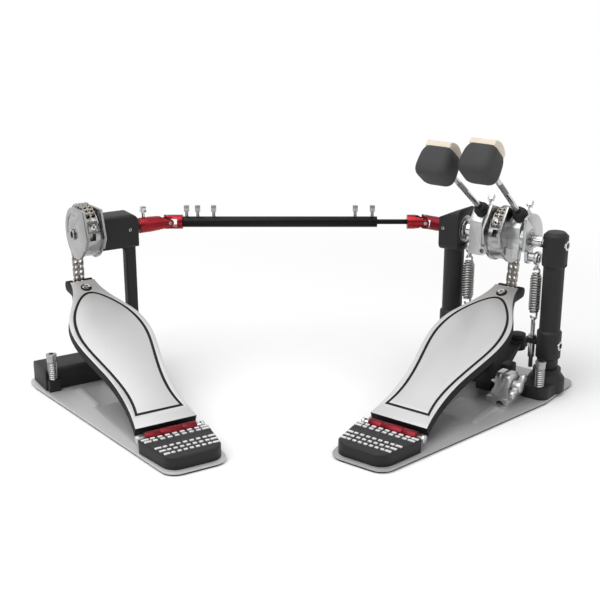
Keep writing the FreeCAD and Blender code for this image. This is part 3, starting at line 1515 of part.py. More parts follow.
def nodes():
    """Every node's solids, in the whole part's frame."""
    main, slave = main_frame, slave_frame
    made = {}

    def keep(name, shapes, frame=None):
        shapes = shapes if isinstance(shapes, list) else [shapes]
        if frame:
            shapes = [placed(shape, frame) for shape in shapes]
        made[name] = shapes[0] if len(shapes) == 1 else Part.makeCompound(shapes)

    def both(name, shapes):
        keep(name, [placed(shape, frame) for frame in (main, slave) for shape in shapes])

    keep("main_base_plate", base_plate(main_plate_half, main_plate_knee, main_plate_rear, main_rib_spread,
                                       main_rib_near, main_rib_far), main)
    keep("slave_base_plate", base_plate(slave_plate_half, slave_plate_knee, slave_plate_rear,
                                        slave_rib_spread, slave_rib_near, slave_rib_far), slave)
    mats = [placed(floor_mat(main_plate_half, main_plate_knee, main_plate_rear), main),
            placed(floor_mat(slave_plate_half, slave_plate_knee, slave_plate_rear), slave)]
    keep("floor_mats", mats)
    both("heel_plates", [heel_plate()])
    both("heel_hinges", heel_hinge())
    keep("main_foot", main_foot(), main)
    keep("main_right_post", main_right_post(), main)
    keep("main_left_post", main_left_post(), main)
    keep("slave_post", slave_post(), slave)
    keep("main_axle", main_axle(), main)
    bore = axle_radius + running_gap
    outer_bearing = bearing(slave_housing_outer - bearing_width, slave_bearing_radius, bore)
    keep("shaft_bearings", [placed(mirrored(bearing(housing_inner, main_bearing_radius, bore)), main),
                            placed(bearing(slave_housing_inner, slave_bearing_radius, bore), slave),
                            placed(outer_bearing, slave)])
    keep("spring_bolts", eyebolt(1) + eyebolt(-1), main)
    keep("spur_screws", [placed(spur_screw(main_spur_offset, -main_spur_reach), main),
                         placed(spur_screw(-main_spur_offset, -main_spur_reach), main),
                         placed(spur_screw(-slave_spur_offset, -slave_spur_reach), slave)])
    keep("clamp_bracket", clamp_bracket(), main)
    keep("clamp_lever", clamp_lever(), main)
    keep("clamp_pad", clamp_pad(), main)
    keep("clamp_wing_bolt", clamp_wing_bolt(), main)
    for name, frame, tilt in (("main", main, main_tilt), ("slave", slave, slave_tilt)):
        keep(name + "_footboard", footboard(tilt), frame)
        keep(name + "_board_hinge", board_hinge(tilt), frame)
    keep("main_cam", cam(main_pedal, axle_radius + running_gap), main)
    keep("slave_cam", cam(slave_pedal, axle_radius), slave)
    for name, pedal in (("main", main_pedal), ("slave", slave_pedal)):
        links, pins = chain(pedal)
        first = first_loose(pedal)
        last = first + loose_link_count
        keep(name + "_chain_run", links[:first], pedal.frame)
        for i in range(loose_link_count):
            keep(name + "_chain_link_" + str(i + 1), links[first + i], pedal.frame)
        keep(name + "_chain_wrap", links[last:] + [chain_anchor(pedal, pins[-1])], pedal.frame)
    keep("main_beater_hub", main_beater_hub(), main)
    keep("main_rocker_arm", main_rocker_arm(), main)
    keep("rotor_bearing", rotor_bearing(), main)
    keep("left_beater_hub", left_beater_hub(), main)
    keep("left_shaft", left_shaft(), main)
    for name, beater, side in (("main", main_beater, 1), ("left", left_beater, -1)):
        keep(name + "_hub_cap", hub_cap(beater), main)
        keep(name + "_beater_rod", beater_rod(beater), main)
        keep(name + "_beater_head", beater_head(beater), main)
        keep(name + "_beater_felt", beater_felt(beater), main)
        keep(name + "_spring_rocker", spring_rocker(side), main)
        keep(name + "_spring", placed_spring(side), main)
    keep("slave_shaft", slave_shaft(), slave)
    keep("slave_yoke", slave_yoke(), slave)
    keep("main_yoke", main_yoke(), main)
    lifted = V(0, 0, axle_height)
    keep("slave_cross", cross().translated(V(slave_joint_offset, 0, axle_height)), slave)
    keep("drive_cross", cross().translated(main_joint.add(lifted)))
    keep("drive_yokes", drive_yokes())
    keep("drive_tube", drive_tube())
    keep("drive_rod", drive_rod())
    keep("key_screws", key_screws())
    return made


if __name__ == "__main__":
    os.makedirs("parts", exist_ok=True)
    total = 0
    for name, shape in nodes().items():
        shape.exportStep("parts/" + name + ".step")
        total += shape.Volume
        print(name, "solids", len(shape.Solids), "valid", shape.isValid(), "volume", round(shape.Volume, 1))
    print("least gap between spring turns", round(spring_gap(), 2), "total volume", round(total))
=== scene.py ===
# %% [markdown]
# # A double bass drum pedal
# Two footboards work two beaters. The right foot pulls a chain over a cam and swings its beater directly;
# the left foot does the same on a second pedal, whose turning shaft reaches across through two universal
# joints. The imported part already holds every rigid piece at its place, so this lesson is mostly about
# finish: rounding the edges that a casting or a milled part really has, and giving each surface its own
# material. Springs, felts, screw heads and threads are modelled anew.

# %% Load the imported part
import json
import math
from collections import namedtuple

import bpy
from mathutils import Matrix, Vector


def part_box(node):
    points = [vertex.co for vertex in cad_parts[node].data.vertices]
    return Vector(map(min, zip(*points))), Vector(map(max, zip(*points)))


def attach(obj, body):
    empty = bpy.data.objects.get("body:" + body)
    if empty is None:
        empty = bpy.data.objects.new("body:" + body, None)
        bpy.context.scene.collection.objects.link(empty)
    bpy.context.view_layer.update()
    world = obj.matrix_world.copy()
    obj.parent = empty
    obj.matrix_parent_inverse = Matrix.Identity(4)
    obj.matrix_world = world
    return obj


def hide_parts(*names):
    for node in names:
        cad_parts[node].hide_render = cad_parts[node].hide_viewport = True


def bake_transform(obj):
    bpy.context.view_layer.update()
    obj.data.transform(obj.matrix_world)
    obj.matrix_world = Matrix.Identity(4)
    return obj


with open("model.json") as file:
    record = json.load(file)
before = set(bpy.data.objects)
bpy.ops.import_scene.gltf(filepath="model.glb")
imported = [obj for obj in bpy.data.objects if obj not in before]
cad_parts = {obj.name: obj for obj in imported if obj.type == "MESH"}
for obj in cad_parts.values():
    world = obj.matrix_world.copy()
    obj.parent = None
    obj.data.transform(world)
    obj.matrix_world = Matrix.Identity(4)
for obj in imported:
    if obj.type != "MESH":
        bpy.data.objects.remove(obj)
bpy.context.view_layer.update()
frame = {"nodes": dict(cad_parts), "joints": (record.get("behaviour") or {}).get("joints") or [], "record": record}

bodies = frame["record"]["behaviour"]["bodies"]
body_of_node = {node: body for body, nodes in bodies.items() for node in nodes}

# %% [markdown]
# Each pedal has a frame of its own: x along its axle, y towards the drum, origin on the floor under the
# axle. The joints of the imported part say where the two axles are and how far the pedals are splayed, so
# both frames are read from there and nothing is measured twice.

# %% Pedal frames
def joint_named(name):
    return next(joint for joint in frame["joints"] if joint["name"] == name)


def pedal_frame(joint_name):
    joint = joint_named(joint_name)
    along = -Vector(joint["axis"])
    x, y = joint["pos_m"][:2]
    return Matrix.Translation((x, y, 0)) @ Matrix.Rotation(math.atan2(along.y, along.x), 4, "Z")


main_pedal = pedal_frame("main_beater")
slave_pedal = pedal_frame("slave_rotor")
axle_height = joint_named("main_beater")["pos_m"][2]
print("slave pedal stands at", [round(v, 3) for v in slave_pedal.translation])

# %% [markdown]
# The photograph was taken with a moderately long lens a little over a metre in front of the pedals and
# half a metre up, looking slightly down. The same place and angle of view give the same perspective.

# %% Camera
quarter_turn = math.radians(90)
camera_place = (-0.2359, -1.2534, 0.5056)
camera_pitch = math.radians(17.92)
lens_length = 67.13
sensor_width = 36.0

bpy.ops.object.camera_add(location=camera_place, rotation=(quarter_turn - camera_pitch, 0, 0))
camera = bpy.context.object
camera.name = "camera"
camera.data.lens = lens_length
camera.data.sensor_width = sensor_width
bpy.context.scene.camera = camera
bpy.context.scene.view_settings.view_transform = "Standard"
print("camera at", camera_place)

# %% [markdown]
# Shader maths reads best as ordinary arithmetic. The small class below wraps a node's output socket, so
# that `1 - mask` or `height * 0.2 + 0.4` adds the Math nodes by itself. Placing the same nodes one by one
# would give the same material, but nobody could read it.

# %% Values of a shader
class Value:
    """An output socket of a material. Arithmetic on it adds Math nodes to the same material."""

    def __init__(self, finish, socket):
        self.finish = finish
        self.socket = socket

    def alone(self, operation):
        return self.finish.node("ShaderNodeMath", {"operation": operation}, {0: self})

    def combine(self, operation, first, second):
        return self.finish.node("ShaderNodeMath", {"operation": operation}, {0: first, 1: second})

    def __add__(self, other):
        return self.combine("ADD", self, other)

    def __radd__(self, other):
        return self.combine("ADD", other, self)

    def __sub__(self, other):
        return self.combine("SUBTRACT", self, other)

    def __rsub__(self, other):
        return self.combine("SUBTRACT", other, self)

    def __mul__(self, other):
        return self.combine("MULTIPLY", self, other)

    def __rmul__(self, other):
        return self.combine("MULTIPLY", other, self)

    def __gt__(self, other):
        return self.combine("GREATER_THAN", self, other)

    def __lt__(self, other):
        return self.combine("LESS_THAN", self, other)

    def __abs__(self):
        return self.alone("ABSOLUTE")

    def sine(self):
        return self.alone("SINE")

    def larger(self, other):
        return self.combine("MAXIMUM", self, other)

    def between(self, low, high):
        """Runs from low to high as this value runs from nought to one."""
        return self * (high - low) + low


print("shader values ready")

# %% [markdown]
# Every other node comes from one method, which takes the node's type, its settings, and the values or
# links of its inputs. The shorter methods after it only save writing. A Mix node lists its sockets once
# for each kind of data, so those for colours are picked by their numbers.

# %% Finishes under construction
mix_factor = 0
mix_first = 6
mix_second = 7
mix_result = 2
fine_detail = 2
even_detail = 3
cloud_detail = 4
even_rough = 0.55


class Finish:
    """A material under construction, with its shader and the nodes that feed it."""

    def __init__(self, name, **constants):
        self.start(bpy.data.materials.new(name), "Principled BSDF")
        for socket, value in constants.items():
            self.shader.inputs[socket.replace("_", " ")].default_value = value

    def start(self, material, shader):
        self.material = material
        self.material.use_nodes = True
        self.tree = self.material.node_tree
        self.shader = self.tree.nodes[shader]

    def node(self, kind, settings=None, inputs=None, output=0):
        made = self.tree.nodes.new(kind)
        for key, value in (settings or {}).items():
            setattr(made, key, value)
        for key, value in (inputs or {}).items():
            if isinstance(value, Value):
                self.tree.links.new(value.socket, made.inputs[key])
            else:
                made.inputs[key].default_value = value
        return Value(self, made.outputs[output])

    def set(self, **links):
        """Feeds the shader's sockets from values."""
        for socket, value in links.items():
            self.tree.links.new(value.socket, self.shader.inputs[socket.replace("_", " ")])

    def place(self, origin=None):
        """Object coordinates, or those of a frame given by its matrix."""
        here = self.node("ShaderNodeTexCoord", output="Object")
        if origin is None:
            return here
        inputs = {"Vector": here, "Location": origin.translation, "Rotation": origin.to_euler()}
        return self.node("ShaderNodeMapping", {"vector_type": "TEXTURE"}, inputs)

    def noise(self, where, scale, detail=even_detail, rough=even_rough):
        inputs = {"Vector": where, "Scale": scale, "Detail": detail, "Roughness": rough}
        return self.node("ShaderNodeTexNoise", {}, inputs, "Fac")

    def stretched(self, where, scale):
        return self.node("ShaderNodeMapping", {}, {"Vector": where, "Scale": scale})

    def part(self, where, axis):
        return self.node("ShaderNodeSeparateXYZ", {}, {"Vector": where}, axis)

    def distance(self, where, centre):
        return self.node("ShaderNodeVectorMath", {"operation": "DISTANCE"}, {0: where, 1: centre}, "Value")

    def soft_step(self, value, low, high):
        """Nought up to low, one from high on, and a smooth rise between them."""
        inputs = {"Value": value, "From Min": low, "From Max": high}
        return self.node("ShaderNodeMapRange", {"interpolation_type": "SMOOTHSTEP"}, inputs)

    def ray(self, kind):
        return self.node("ShaderNodeLightPath", output=kind)

    def mix(self, factor, first, second):
        """A colour between two colours or colour sockets."""
        inputs = {mix_factor: factor, mix_first: first, mix_second: second}
        return self.node("ShaderNodeMix", {"data_type": "RGBA"}, inputs, mix_result)

    def bump(self, height, strength, distance):
        inputs = {"Height": height, "Strength": strength, "Distance": distance}
        return self.node("ShaderNodeBump", {}, inputs, "Normal")


print("finishes ready")

# %% [markdown]
# The floor is pale and matt, and takes the soft shadow of the pedals. A real studio sweep curves up into
# a white wall; here the floor simply fades to plain white some way from the pedals, for the eye of the
# camera and for reflections only, so that the fade adds no light to the object.

# %% Floor
floor_size = 14.0
floor_tone = (0.94, 0.94, 0.94, 1)
floor_roughness = 0.95
floor_gloss = 0.1
fade_centre = Vector((-0.24, -0.06, 0))
fade_start = 0.34
fade_end = 0.95


def seen_share(finish):
    """One for rays of the camera and for reflections, nought for the light that the floor gives back."""
    mirrored = finish.ray("Is Glossy Ray") + finish.ray("Is Transmission Ray")
    return finish.node("ShaderNodeMath", {"operation": "ADD", "use_clamp": True},
                       {0: finish.ray("Is Camera Ray"), 1: mirrored})


def floor_finish():
    finish = Finish("pale_floor", Roughness=floor_roughness, Specular_IOR_Level=floor_gloss,
                    Base_Color=floor_tone)
    fade = finish.soft_step(finish.distance(finish.place(), fade_centre), fade_start, fade_end)
    matt = Value(finish, finish.shader.outputs["BSDF"])
    plain = finish.node("ShaderNodeEmission", output="Emission")
    mixed = finish.node("ShaderNodeMixShader", {}, {"Fac": fade * seen_share(finish), 1: matt, 2: plain})
    finish.tree.links.new(mixed.socket, finish.tree.nodes["Material Output"].inputs["Surface"])
    return finish.material


bpy.ops.mesh.primitive_plane_add(size=floor_size, location=(0, 0, 0))
floor = bpy.context.object
floor.name = "floor"
floor.data.materials.append(floor_finish())
print("floor", floor_size, "m across")

# %% [markdown]
# Three large soft lamps stand in for studio softboxes: a key from the left, a fill from the right, and
# one overhead. Small lamps would give hard shadows and pinpoint highlights on the metal, so all three are
# wide.

# %% Lamps
lamp_aim = Vector((-0.24, 0, 0.1))
lamps = {
    "key_lamp": {"place": (-1.6, -1.2, 1.8), "width": 2.0, "height": 2.0, "power": 28},
    "fill_lamp": {"place": (1.4, -1.1, 1.5), "width": 1.7, "height": 1.7, "power": 9},
    "top_lamp": {"place": (-0.6, -0.25, 2.2), "width": 2.6, "height": 1.6, "power": 24},
}


def soft_lamp(name, place, width, height, power):
    bpy.ops.object.light_add(type="AREA", location=place)
    lamp = bpy.context.object
    lamp.name = name
    lamp.data.shape = "RECTANGLE"
    lamp.data.size = width
    lamp.data.size_y = height
    lamp.data.energy = power
    lamp.rotation_euler = (lamp_aim - Vector(place)).to_track_quat("-Z", "Y").to_euler()


for name, settings in lamps.items():
    soft_lamp(name, **settings)

# %% [markdown]
# The world is white to the camera. Reflections see it bright behind the pedals and overhead and dark on
# the photographer's side, as in a studio where only the sweep is lit, which gives polished metal its dark
# lines. Everything else gets an even, lower light from it.

# %% World
white = (1, 1, 1, 1)
world_light = 0.47
mirror_low = 0.16
mirror_high = 0.92
back_start = -0.35
back_end = 0.55
above_start = 0.45
above_end = 0.95


class Backdrop(Finish):
    """The world's nodes, with the same shorthand as a material's."""

    def __init__(self, name):
        self.start(bpy.data.worlds.new(name), "Background")


def studio_world():
    world = Backdrop("studio")
    way = world.node("ShaderNodeTexCoord", output="Generated")
    back = world.soft_step(world.part(way, "Y"), back_start, back_end)
    above = world.soft_step(world.part(way, "Z"), above_start, above_end)
    mirrored = back.larger(above).between(mirror_low, mirror_high)
    glossy = world.ray("Is Glossy Ray")
    seen = world.ray("Is Camera Ray") + world.ray("Is Transmission Ray")
    world.shader.inputs["Color"].default_value = white
    world.set(Strength=seen + glossy * mirrored + (1 - seen - glossy) * world_light)
    bpy.context.scene.world = world.material


studio_world()
print("reflections see the world from", mirror_low, "to", mirror_high)

# %% [markdown]
# The cast pieces wear a black powder coat. Close up it is a fine orange-peel texture that scatters
# highlights, a little lighter where hands and shoes have polished it. A painted image would do, but noise
# on Object coordinates needs no unwrapping and never stretches.

# %% Black powder coat
coat_dark = (0.009, 0.009, 0.010, 1)
coat_pale = (0.018, 0.018, 0.019, 1)
coat_gloss = 0.34
coat_roughness = (0.46, 0.62)
coat_cloud_scale = 22
peel_scale = 1400
peel_strength = 0.35
peel_depth = 0.0004


def black_coat():
    finish = Finish("black_coat", Specular_IOR_Level=coat_gloss)
    here = finish.place()
    peel = finish.noise(here, peel_scale, fine_detail)
    clouds = finish.noise(here, coat_cloud_scale, cloud_detail)
    finish.set(Base_Color=finish.mix(clouds, coat_dark, coat_pale),
               Roughness=clouds.between(*coat_roughness),
               Normal=finish.bump(peel, peel_strength, peel_depth))
    return finish.material


black = black_coat()
print("made", black.name)

# %% [markdown]
# The drive tube is a smoother and deeper black, with faint rub marks along its length. The marks are the
# same noise, squeezed across the tube, which is quicker than drawing scratches and has no end.

# %% Black of the drive tube
tube_dark = (0.003, 0.003, 0.0033, 1)
tube_pale = (0.007, 0.007, 0.0074, 1)
tube_gloss = 0.15
tube_roughness = (0.30, 0.46)
rub_stretch = (6, 300, 300)
rub_scale = 3
tube_grain_scale = 2200
tube_grain_detail = 1
tube_grain_strength = 0.15
tube_grain_depth = 0.0002


def tube_coat():
    finish = Finish("tube_black", Specular_IOR_Level=tube_gloss)
    here = finish.place()
    rub = finish.noise(finish.stretched(here, rub_stretch), rub_scale, cloud_detail)
    grain = finish.noise(here, tube_grain_scale, tube_grain_detail)
    finish.set(Base_Color=finish.mix(rub, tube_dark, tube_pale),
               Roughness=rub.between(*tube_roughness),
               Normal=finish.bump(grain, tube_grain_strength, tube_grain_depth))
    return finish.material


tube_black = tube_coat()
print("made", tube_black.name)

# %% [markdown]
# Rubber mats, beater blocks and plastic caps are all matt and dark, and differ in tone and in the size of
# their speckle. One function with these as its inputs serves for all three.

# %% Rubber and plastic
rubber_gloss = 0.35
rubber_roughness = (0.62, 0.82)
rubber_cloud_scale = 35
speck_strength = 0.3
speck_depth = 0.0003


def matt_rubber(name, dark, pale, speck_scale):
    finish = Finish(name, Specular_IOR_Level=rubber_gloss)
    here = finish.place()
    speck = finish.noise(here, speck_scale)
    clouds = finish.noise(here, rubber_cloud_scale)
    finish.set(Base_Color=finish.mix(clouds, dark, pale),
               Roughness=speck.between(*rubber_roughness),
               Normal=finish.bump(speck, speck_strength, speck_depth))
    return finish.material


mat_rubber = matt_rubber("mat_rubber", speck_scale=900,
                         dark=(0.012, 0.012, 0.012, 1), pale=(0.022, 0.022, 0.022, 1))
head_rubber = matt_rubber("head_rubber", speck_scale=1500,
                          dark=(0.034, 0.034, 0.035, 1), pale=(0.048, 0.048, 0.050, 1))
cap_plastic = matt_rubber("cap_plastic", speck_scale=1800,
                          dark=(0.012, 0.012, 0.013, 1), pale=(0.020, 0.020, 0.021, 1))
print("made", mat_rubber.name, head_rubber.name, cap_plastic.name)

# %% [markdown]
# Bare metals tell the pieces apart: satin castings with a soft cloudy sheen, polished steel for axles and
# screws, duller steel for bearings, zinc on spurs and key screws, nickel on the chain. They share one
# recipe, in which clouds of noise vary both tone and roughness, so that no surface looks computed.

# %% Bare metals
metal_grain_scale = 1600
metal_grain_strength = 0.12
metal_grain_depth = 0.0002
metal_cloud_scale = 60
cam_cloud_scale = 40
chain_cloud_scale = 300


def satin_metal(name, dark, pale, roughness, cloud_scale=metal_cloud_scale):
    finish = Finish(name, Metallic=1.0)
    here = finish.place()
    clouds = finish.noise(here, cloud_scale, cloud_detail)
    grain = finish.noise(here, metal_grain_scale, fine_detail)
    finish.set(Base_Color=finish.mix(clouds, dark, pale),
               Roughness=clouds.between(*roughness),
               Normal=finish.bump(grain, metal_grain_strength, metal_grain_depth))
    return finish.material


satin = satin_metal("satin_cast", roughness=(0.26, 0.40),
                    dark=(0.46, 0.465, 0.47, 1), pale=(0.64, 0.645, 0.65, 1))
cast_grey = satin_metal("cast_grey", roughness=(0.34, 0.46),
                        dark=(0.60, 0.605, 0.61, 1), pale=(0.74, 0.745, 0.75, 1))
polished = satin_metal("polished_steel", roughness=(0.10, 0.20),
                       dark=(0.52, 0.525, 0.53, 1), pale=(0.68, 0.685, 0.69, 1))
dull_steel = satin_metal("dull_steel", roughness=(0.28, 0.40),
                         dark=(0.34, 0.33, 0.31, 1), pale=(0.52, 0.50, 0.46, 1))
zinc = satin_metal("zinc_steel", roughness=(0.26, 0.38),
                   dark=(0.32, 0.32, 0.315, 1), pale=(0.48, 0.48, 0.475, 1))
cam_metal = satin_metal("cam_cast", roughness=(0.18, 0.30), cloud_scale=cam_cloud_scale,
                        dark=(0.26, 0.262, 0.265, 1), pale=(0.48, 0.482, 0.485, 1))
spring_metal = satin_metal("spring_wire", roughness=(0.20, 0.30),
                           dark=(0.34, 0.34, 0.33, 1), pale=(0.50, 0.50, 0.49, 1))
chain_metal = satin_metal("chain_nickel", roughness=(0.16, 0.28), cloud_scale=chain_cloud_scale,
                          dark=(0.22, 0.205, 0.185, 1), pale=(0.48, 0.45, 0.41, 1))
print("made", satin.name, cast_grey.name, polished.name, dull_steel.name)
print("made", zinc.name, cam_metal.name, spring_metal.name, chain_metal.name)

# %% [markdown]
# A base plate is steel sheet, brushed along the pedal, with faint smudges. Brushing is ordinary noise,
# squeezed along one axis of the pedal's own frame, since the two pedals stand at different angles. The
# main plate gets darker tones than the slave's, which is painted shade from the footboard above it.

# %% Brushed base plates
plate_metallic = 0.5
plate_roughness = (0.40, 0.54)
plate_streak_stretch = (900, 14, 300)
streak_scale = 1
smudge_scale = 14
plate_streak_share = 0.45
plate_streak_strength = 0.10
plate_streak_depth = 0.0002


def brushed_plate(name, pedal, dark, pale):
    finish = Finish(name, Metallic=plate_metallic)
    here = finish.place(pedal)
    streak = finish.noise(finish.stretched(here, plate_streak_stretch), streak_scale)
    smudge = finish.noise(here, smudge_scale, cloud_detail)
    tone = streak * plate_streak_share + smudge * (1 - plate_streak_share)
    finish.set(Base_Color=finish.mix(tone, dark, pale),
               Roughness=tone.between(*plate_roughness),
               Normal=finish.bump(streak, plate_streak_strength, plate_streak_depth))
    return finish.material


# The same steel as the slave plate, painted darker: painted shade under the main footboard.
main_plate_shaded_metal = brushed_plate("main_plate_shaded_metal", main_pedal,
                                 dark=(0.34, 0.34, 0.342, 1), pale=(0.46, 0.46, 0.462, 1))
slave_plate_metal = brushed_plate("slave_plate_metal", slave_pedal,
                                  dark=(0.48, 0.475, 0.475, 1), pale=(0.62, 0.615, 0.615, 1))
print("made", main_plate_shaded_metal.name, slave_plate_metal.name)

# %% [markdown]
# A beater rod is chromed, with a short knurled stretch where a drummer's fingers turn it. Modelled
# diamonds would take thousands of faces, so the knurl is two sets of fine lines, crossed, which only show
# within that stretch, measured from the axle. The lines are painted dark, as painted shade in the grooves of
# the knurl.

# %% Chrome of the beater rods
knurl_start = 0.074
knurl_end = 0.096
knurl_pitch = 0.0012
# Colour of the knurl's lines: painted shade in its grooves.
knurl_groove_shade = (0.10, 0.10, 0.10, 1)
knurl_roughness = 0.25
knurl_strength = 0.8
knurl_depth = 0.0006
rod_dark = (0.52, 0.525, 0.53, 1)
rod_pale = (0.70, 0.705, 0.71, 1)
rod_roughness = (0.08, 0.16)
rod_cloud_scale = 90
across_axle = (0, 1, 1)


def rod_finish():
    finish = Finish("rod_chrome", Metallic=1.0)
    axle = main_pedal @ Vector((0, 0, axle_height))
    centred = finish.place(Matrix.Translation(axle) @ main_pedal.to_3x3().to_4x4())
    flat = finish.node("ShaderNodeVectorMath", {"operation": "MULTIPLY"}, {0: centred, 1: across_axle})
    reach = finish.node("ShaderNodeVectorMath", {"operation": "LENGTH"}, {0: flat}, "Value")
    sideways = finish.part(centred, "X")
    rate = 2 * math.pi / knurl_pitch
    rising = ((reach + sideways) * rate).sine()
    falling = ((reach - sideways) * rate).sine()
    lines = rising.larger(falling) * 0.5 + 0.5
    knurl = (reach > knurl_start) * (reach < knurl_end)
    clouds = finish.noise(finish.place(), rod_cloud_scale)
    color = finish.mix(clouds, rod_dark, rod_pale)
    finish.set(Base_Color=finish.mix(knurl * lines, color, knurl_groove_shade),
               Roughness=clouds.between(*rod_roughness) + knurl * knurl_roughness,
               Normal=finish.bump(lines * knurl, knurl_strength, knurl_depth))
    return finish.material


rod_chrome = rod_finish()
print("made", rod_chrome.name)

# %% [markdown]
# The hinge barrels and the joints of the drive shaft are red anodised aluminium: metal seen through a
# clear dyed layer, so the colour is deep where it faces us and the highlight stays sharp. A hinge is red
# only within its barrels. Its pin shows as steel beyond them, which one threshold on the pedal's x tells
# apart.

# %% Red anodising
red_dark = (0.13, 0.006, 0.012, 1)
red_pale = (0.22, 0.012, 0.020, 1)
# A lighter red used only on the yokes: painted light where they catch the lamps.
red_painted_light = (0.40, 0.018, 0.028, 1)
red_metallic = 0.8
red_roughness = (0.26, 0.36)
red_cloud_scale = 90
red_grain_scale = 1800
red_grain_strength = 0.1
red_grain_depth = 0.0002
pin_steel = (0.55, 0.555, 0.56, 1)
hinge_half = 0.0292


def beyond_barrels(finish):
    """One where a point lies beyond the hinge barrels of both pedals."""
    main_side = abs(finish.part(finish.place(main_pedal), "X"))
    slave_side = abs(finish.part(finish.place(slave_pedal), "X"))
    return (main_side > hinge_half) * (slave_side > hinge_half)


def red_anodised(name, dark, pale, steel_ends=False):
    finish = Finish(name, Metallic=red_metallic)
    here = finish.place()
    clouds = finish.noise(here, red_cloud_scale)
    grain = finish.noise(here, red_grain_scale, fine_detail)
    color = finish.mix(clouds, dark, pale)
    if steel_ends:
        color = finish.mix(beyond_barrels(finish), color, pin_steel)
    finish.set(Base_Color=color, Roughness=clouds.between(*red_roughness),
               Normal=finish.bump(grain, red_grain_strength, red_grain_depth))
    return finish.material


red = red_anodised("red_anodised", red_dark, red_pale)
# Slave and drive yokes: a lighter copy of the same anodising, painted light.
yoke_red_painted_light = red_anodised("yoke_red_painted_light", red_pale, red_painted_light)
hinge_red = red_anodised("hinge_red", red_dark, red_pale, steel_ends=True)
print("made", red.name, yoke_red_painted_light.name, hinge_red.name)

# %% [markdown]
# A footboard slopes from its heel hinge up to the toe. Its finish is easiest to describe in a frame that
# slopes with it: x across, y along the face, z off the face, origin at the heel.

# %% Board frames
board_heel_reach = 0.21873
board_heel_height = 0.0237
main_tilt = math.radians(21.1)
slave_tilt = math.radians(22.1)


def board_frame(pedal, tilt):
    heel = Matrix.Translation((0, -board_heel_reach, board_heel_height))
    return pedal @ heel @ Matrix.Rotation(tilt, 4, "X")


main_board = board_frame(main_pedal, main_tilt)
slave_board = board_frame(slave_pedal, slave_tilt)
print("main board's heel at", [round(v, 3) for v in main_board.translation])

# %% [markdown]
# A footboard is one casting with two finishes: the face is brushed bright, while its groove and its sides
# keep the black coat. The casting could be cut into two pieces, but in the board's own frame the face is
# simply everything at the top, so one threshold on height tells the finishes apart. Around the toe screw
# a black ring stays, and towards the toe the face is painted darker, as painted shade and painted reflection
# of the cam above it.

# %% Footboard finish
board_dark = (0.52, 0.52, 0.522, 1)
board_pale = (0.62, 0.62, 0.622, 1)
# Colour towards the toe: painted shade and painted reflection of the cam above the board.
board_toe_shade = (0.48, 0.465, 0.455, 1)
board_black = (0.008, 0.008, 0.009, 1)
board_gloss = 0.3
board_metallic = 0.4
board_roughness = (0.46, 0.60)
groove_roughness = 0.70
board_streak_stretch = (24, 1100, 400)
board_streak_share = 0.5
board_cloud_scale = 16
board_grain_scale = 1400
board_bump_strength = 0.12
board_bump_depth = 0.0003
face_depth = 0.00005
toe_screw_reach = 0.2366
toe_screw_radius = 0.0046
toe_ring_radius = 0.0066
toe_shade_start = 0.195
toe_shade_end = 0.240


def board_face(finish, here):
    """One on the bright face, nought in the groove, on the sides and in the ring around the toe screw."""
    face = finish.part(here, "Z") > -face_depth
    reach = finish.distance(here, (0, toe_screw_reach, 0))
    ring = (reach < toe_ring_radius) * (reach > toe_screw_radius)
    return face * (1 - ring)


def board_finish(name, board):
    finish = Finish(name, Specular_IOR_Level=board_gloss)
    here = finish.place(board)
    streak = finish.noise(finish.stretched(here, board_streak_stretch), streak_scale)
    clouds = finish.noise(here, board_cloud_scale, cloud_detail)
    grain = finish.noise(here, board_grain_scale, fine_detail)
    tone = streak * board_streak_share + clouds * (1 - board_streak_share)
    # Painted shade towards the toe, rising between toe_shade_start and toe_shade_end.
    toe_painted_shade = finish.soft_step(finish.part(here, "Y"), toe_shade_start, toe_shade_end)
    bright = finish.mix(toe_painted_shade, finish.mix(tone, board_dark, board_pale), board_toe_shade)
    metal = board_face(finish, here)
    relief = streak * metal + grain * (1 - metal)
    finish.set(Base_Color=finish.mix(metal, board_black, bright), Metallic=metal * board_metallic,
               Roughness=tone.between(*board_roughness) * metal + (1 - metal) * groove_roughness,
               Normal=finish.bump(relief, board_bump_strength, board_bump_depth))
    return finish.material


main_board_metal = board_finish("main_board_finish", main_board)
slave_board_metal = board_finish("slave_board_finish", slave_board)
print("made", main_board_metal.name, slave_board_metal.name)

# %% [markdown]
# The heel plates are black too, with raised bars that grip a shoe. The bars are polished bright on top,
# and height above the floor tells them from the coat, in the same way as on the boards.

# %% Heel plate finish
heel_top = 0.0185
bar_rise = 0.0001
heel_dark = (0.007, 0.007, 0.008, 1)
heel_pale = (0.014, 0.014, 0.015, 1)
bar_dark = (0.78, 0.78, 0.775, 1)
bar_pale = (0.90, 0.90, 0.895, 1)
heel_gloss = 0.35
heel_roughness = (0.46, 0.60)
bar_metallic = 0.6
bar_polish = 0.10
heel_cloud_scale = 26
heel_grain_scale = 1300
heel_grain_strength = 0.3
heel_grain_depth = 0.0004


def heel_finish():
    finish = Finish("heel_plate_finish", Specular_IOR_Level=heel_gloss)
    here = finish.place()
    grain = finish.noise(here, heel_grain_scale, fine_detail)
    clouds = finish.noise(here, heel_cloud_scale, cloud_detail)
    bar = finish.part(here, "Z") > heel_top + bar_rise
    coat = finish.mix(clouds, heel_dark, heel_pale)
    bright = finish.mix(clouds, bar_dark, bar_pale)
    finish.set(Base_Color=finish.mix(bar, coat, bright), Metallic=bar * bar_metallic,
               Roughness=clouds.between(*heel_roughness) - bar * bar_polish,
               Normal=finish.bump(grain, heel_grain_strength, heel_grain_depth))
    return finish.material


heel_black = heel_finish()
print("made", heel_black.name)

# %% [markdown]
# An operator acts on all that is selected, so each step starts by selecting nothing and then the one
# piece it is meant for. The last helper moves a piece that was drawn at the origin to its place and keeps
# that place in the mesh, so that the object itself stays at the origin.

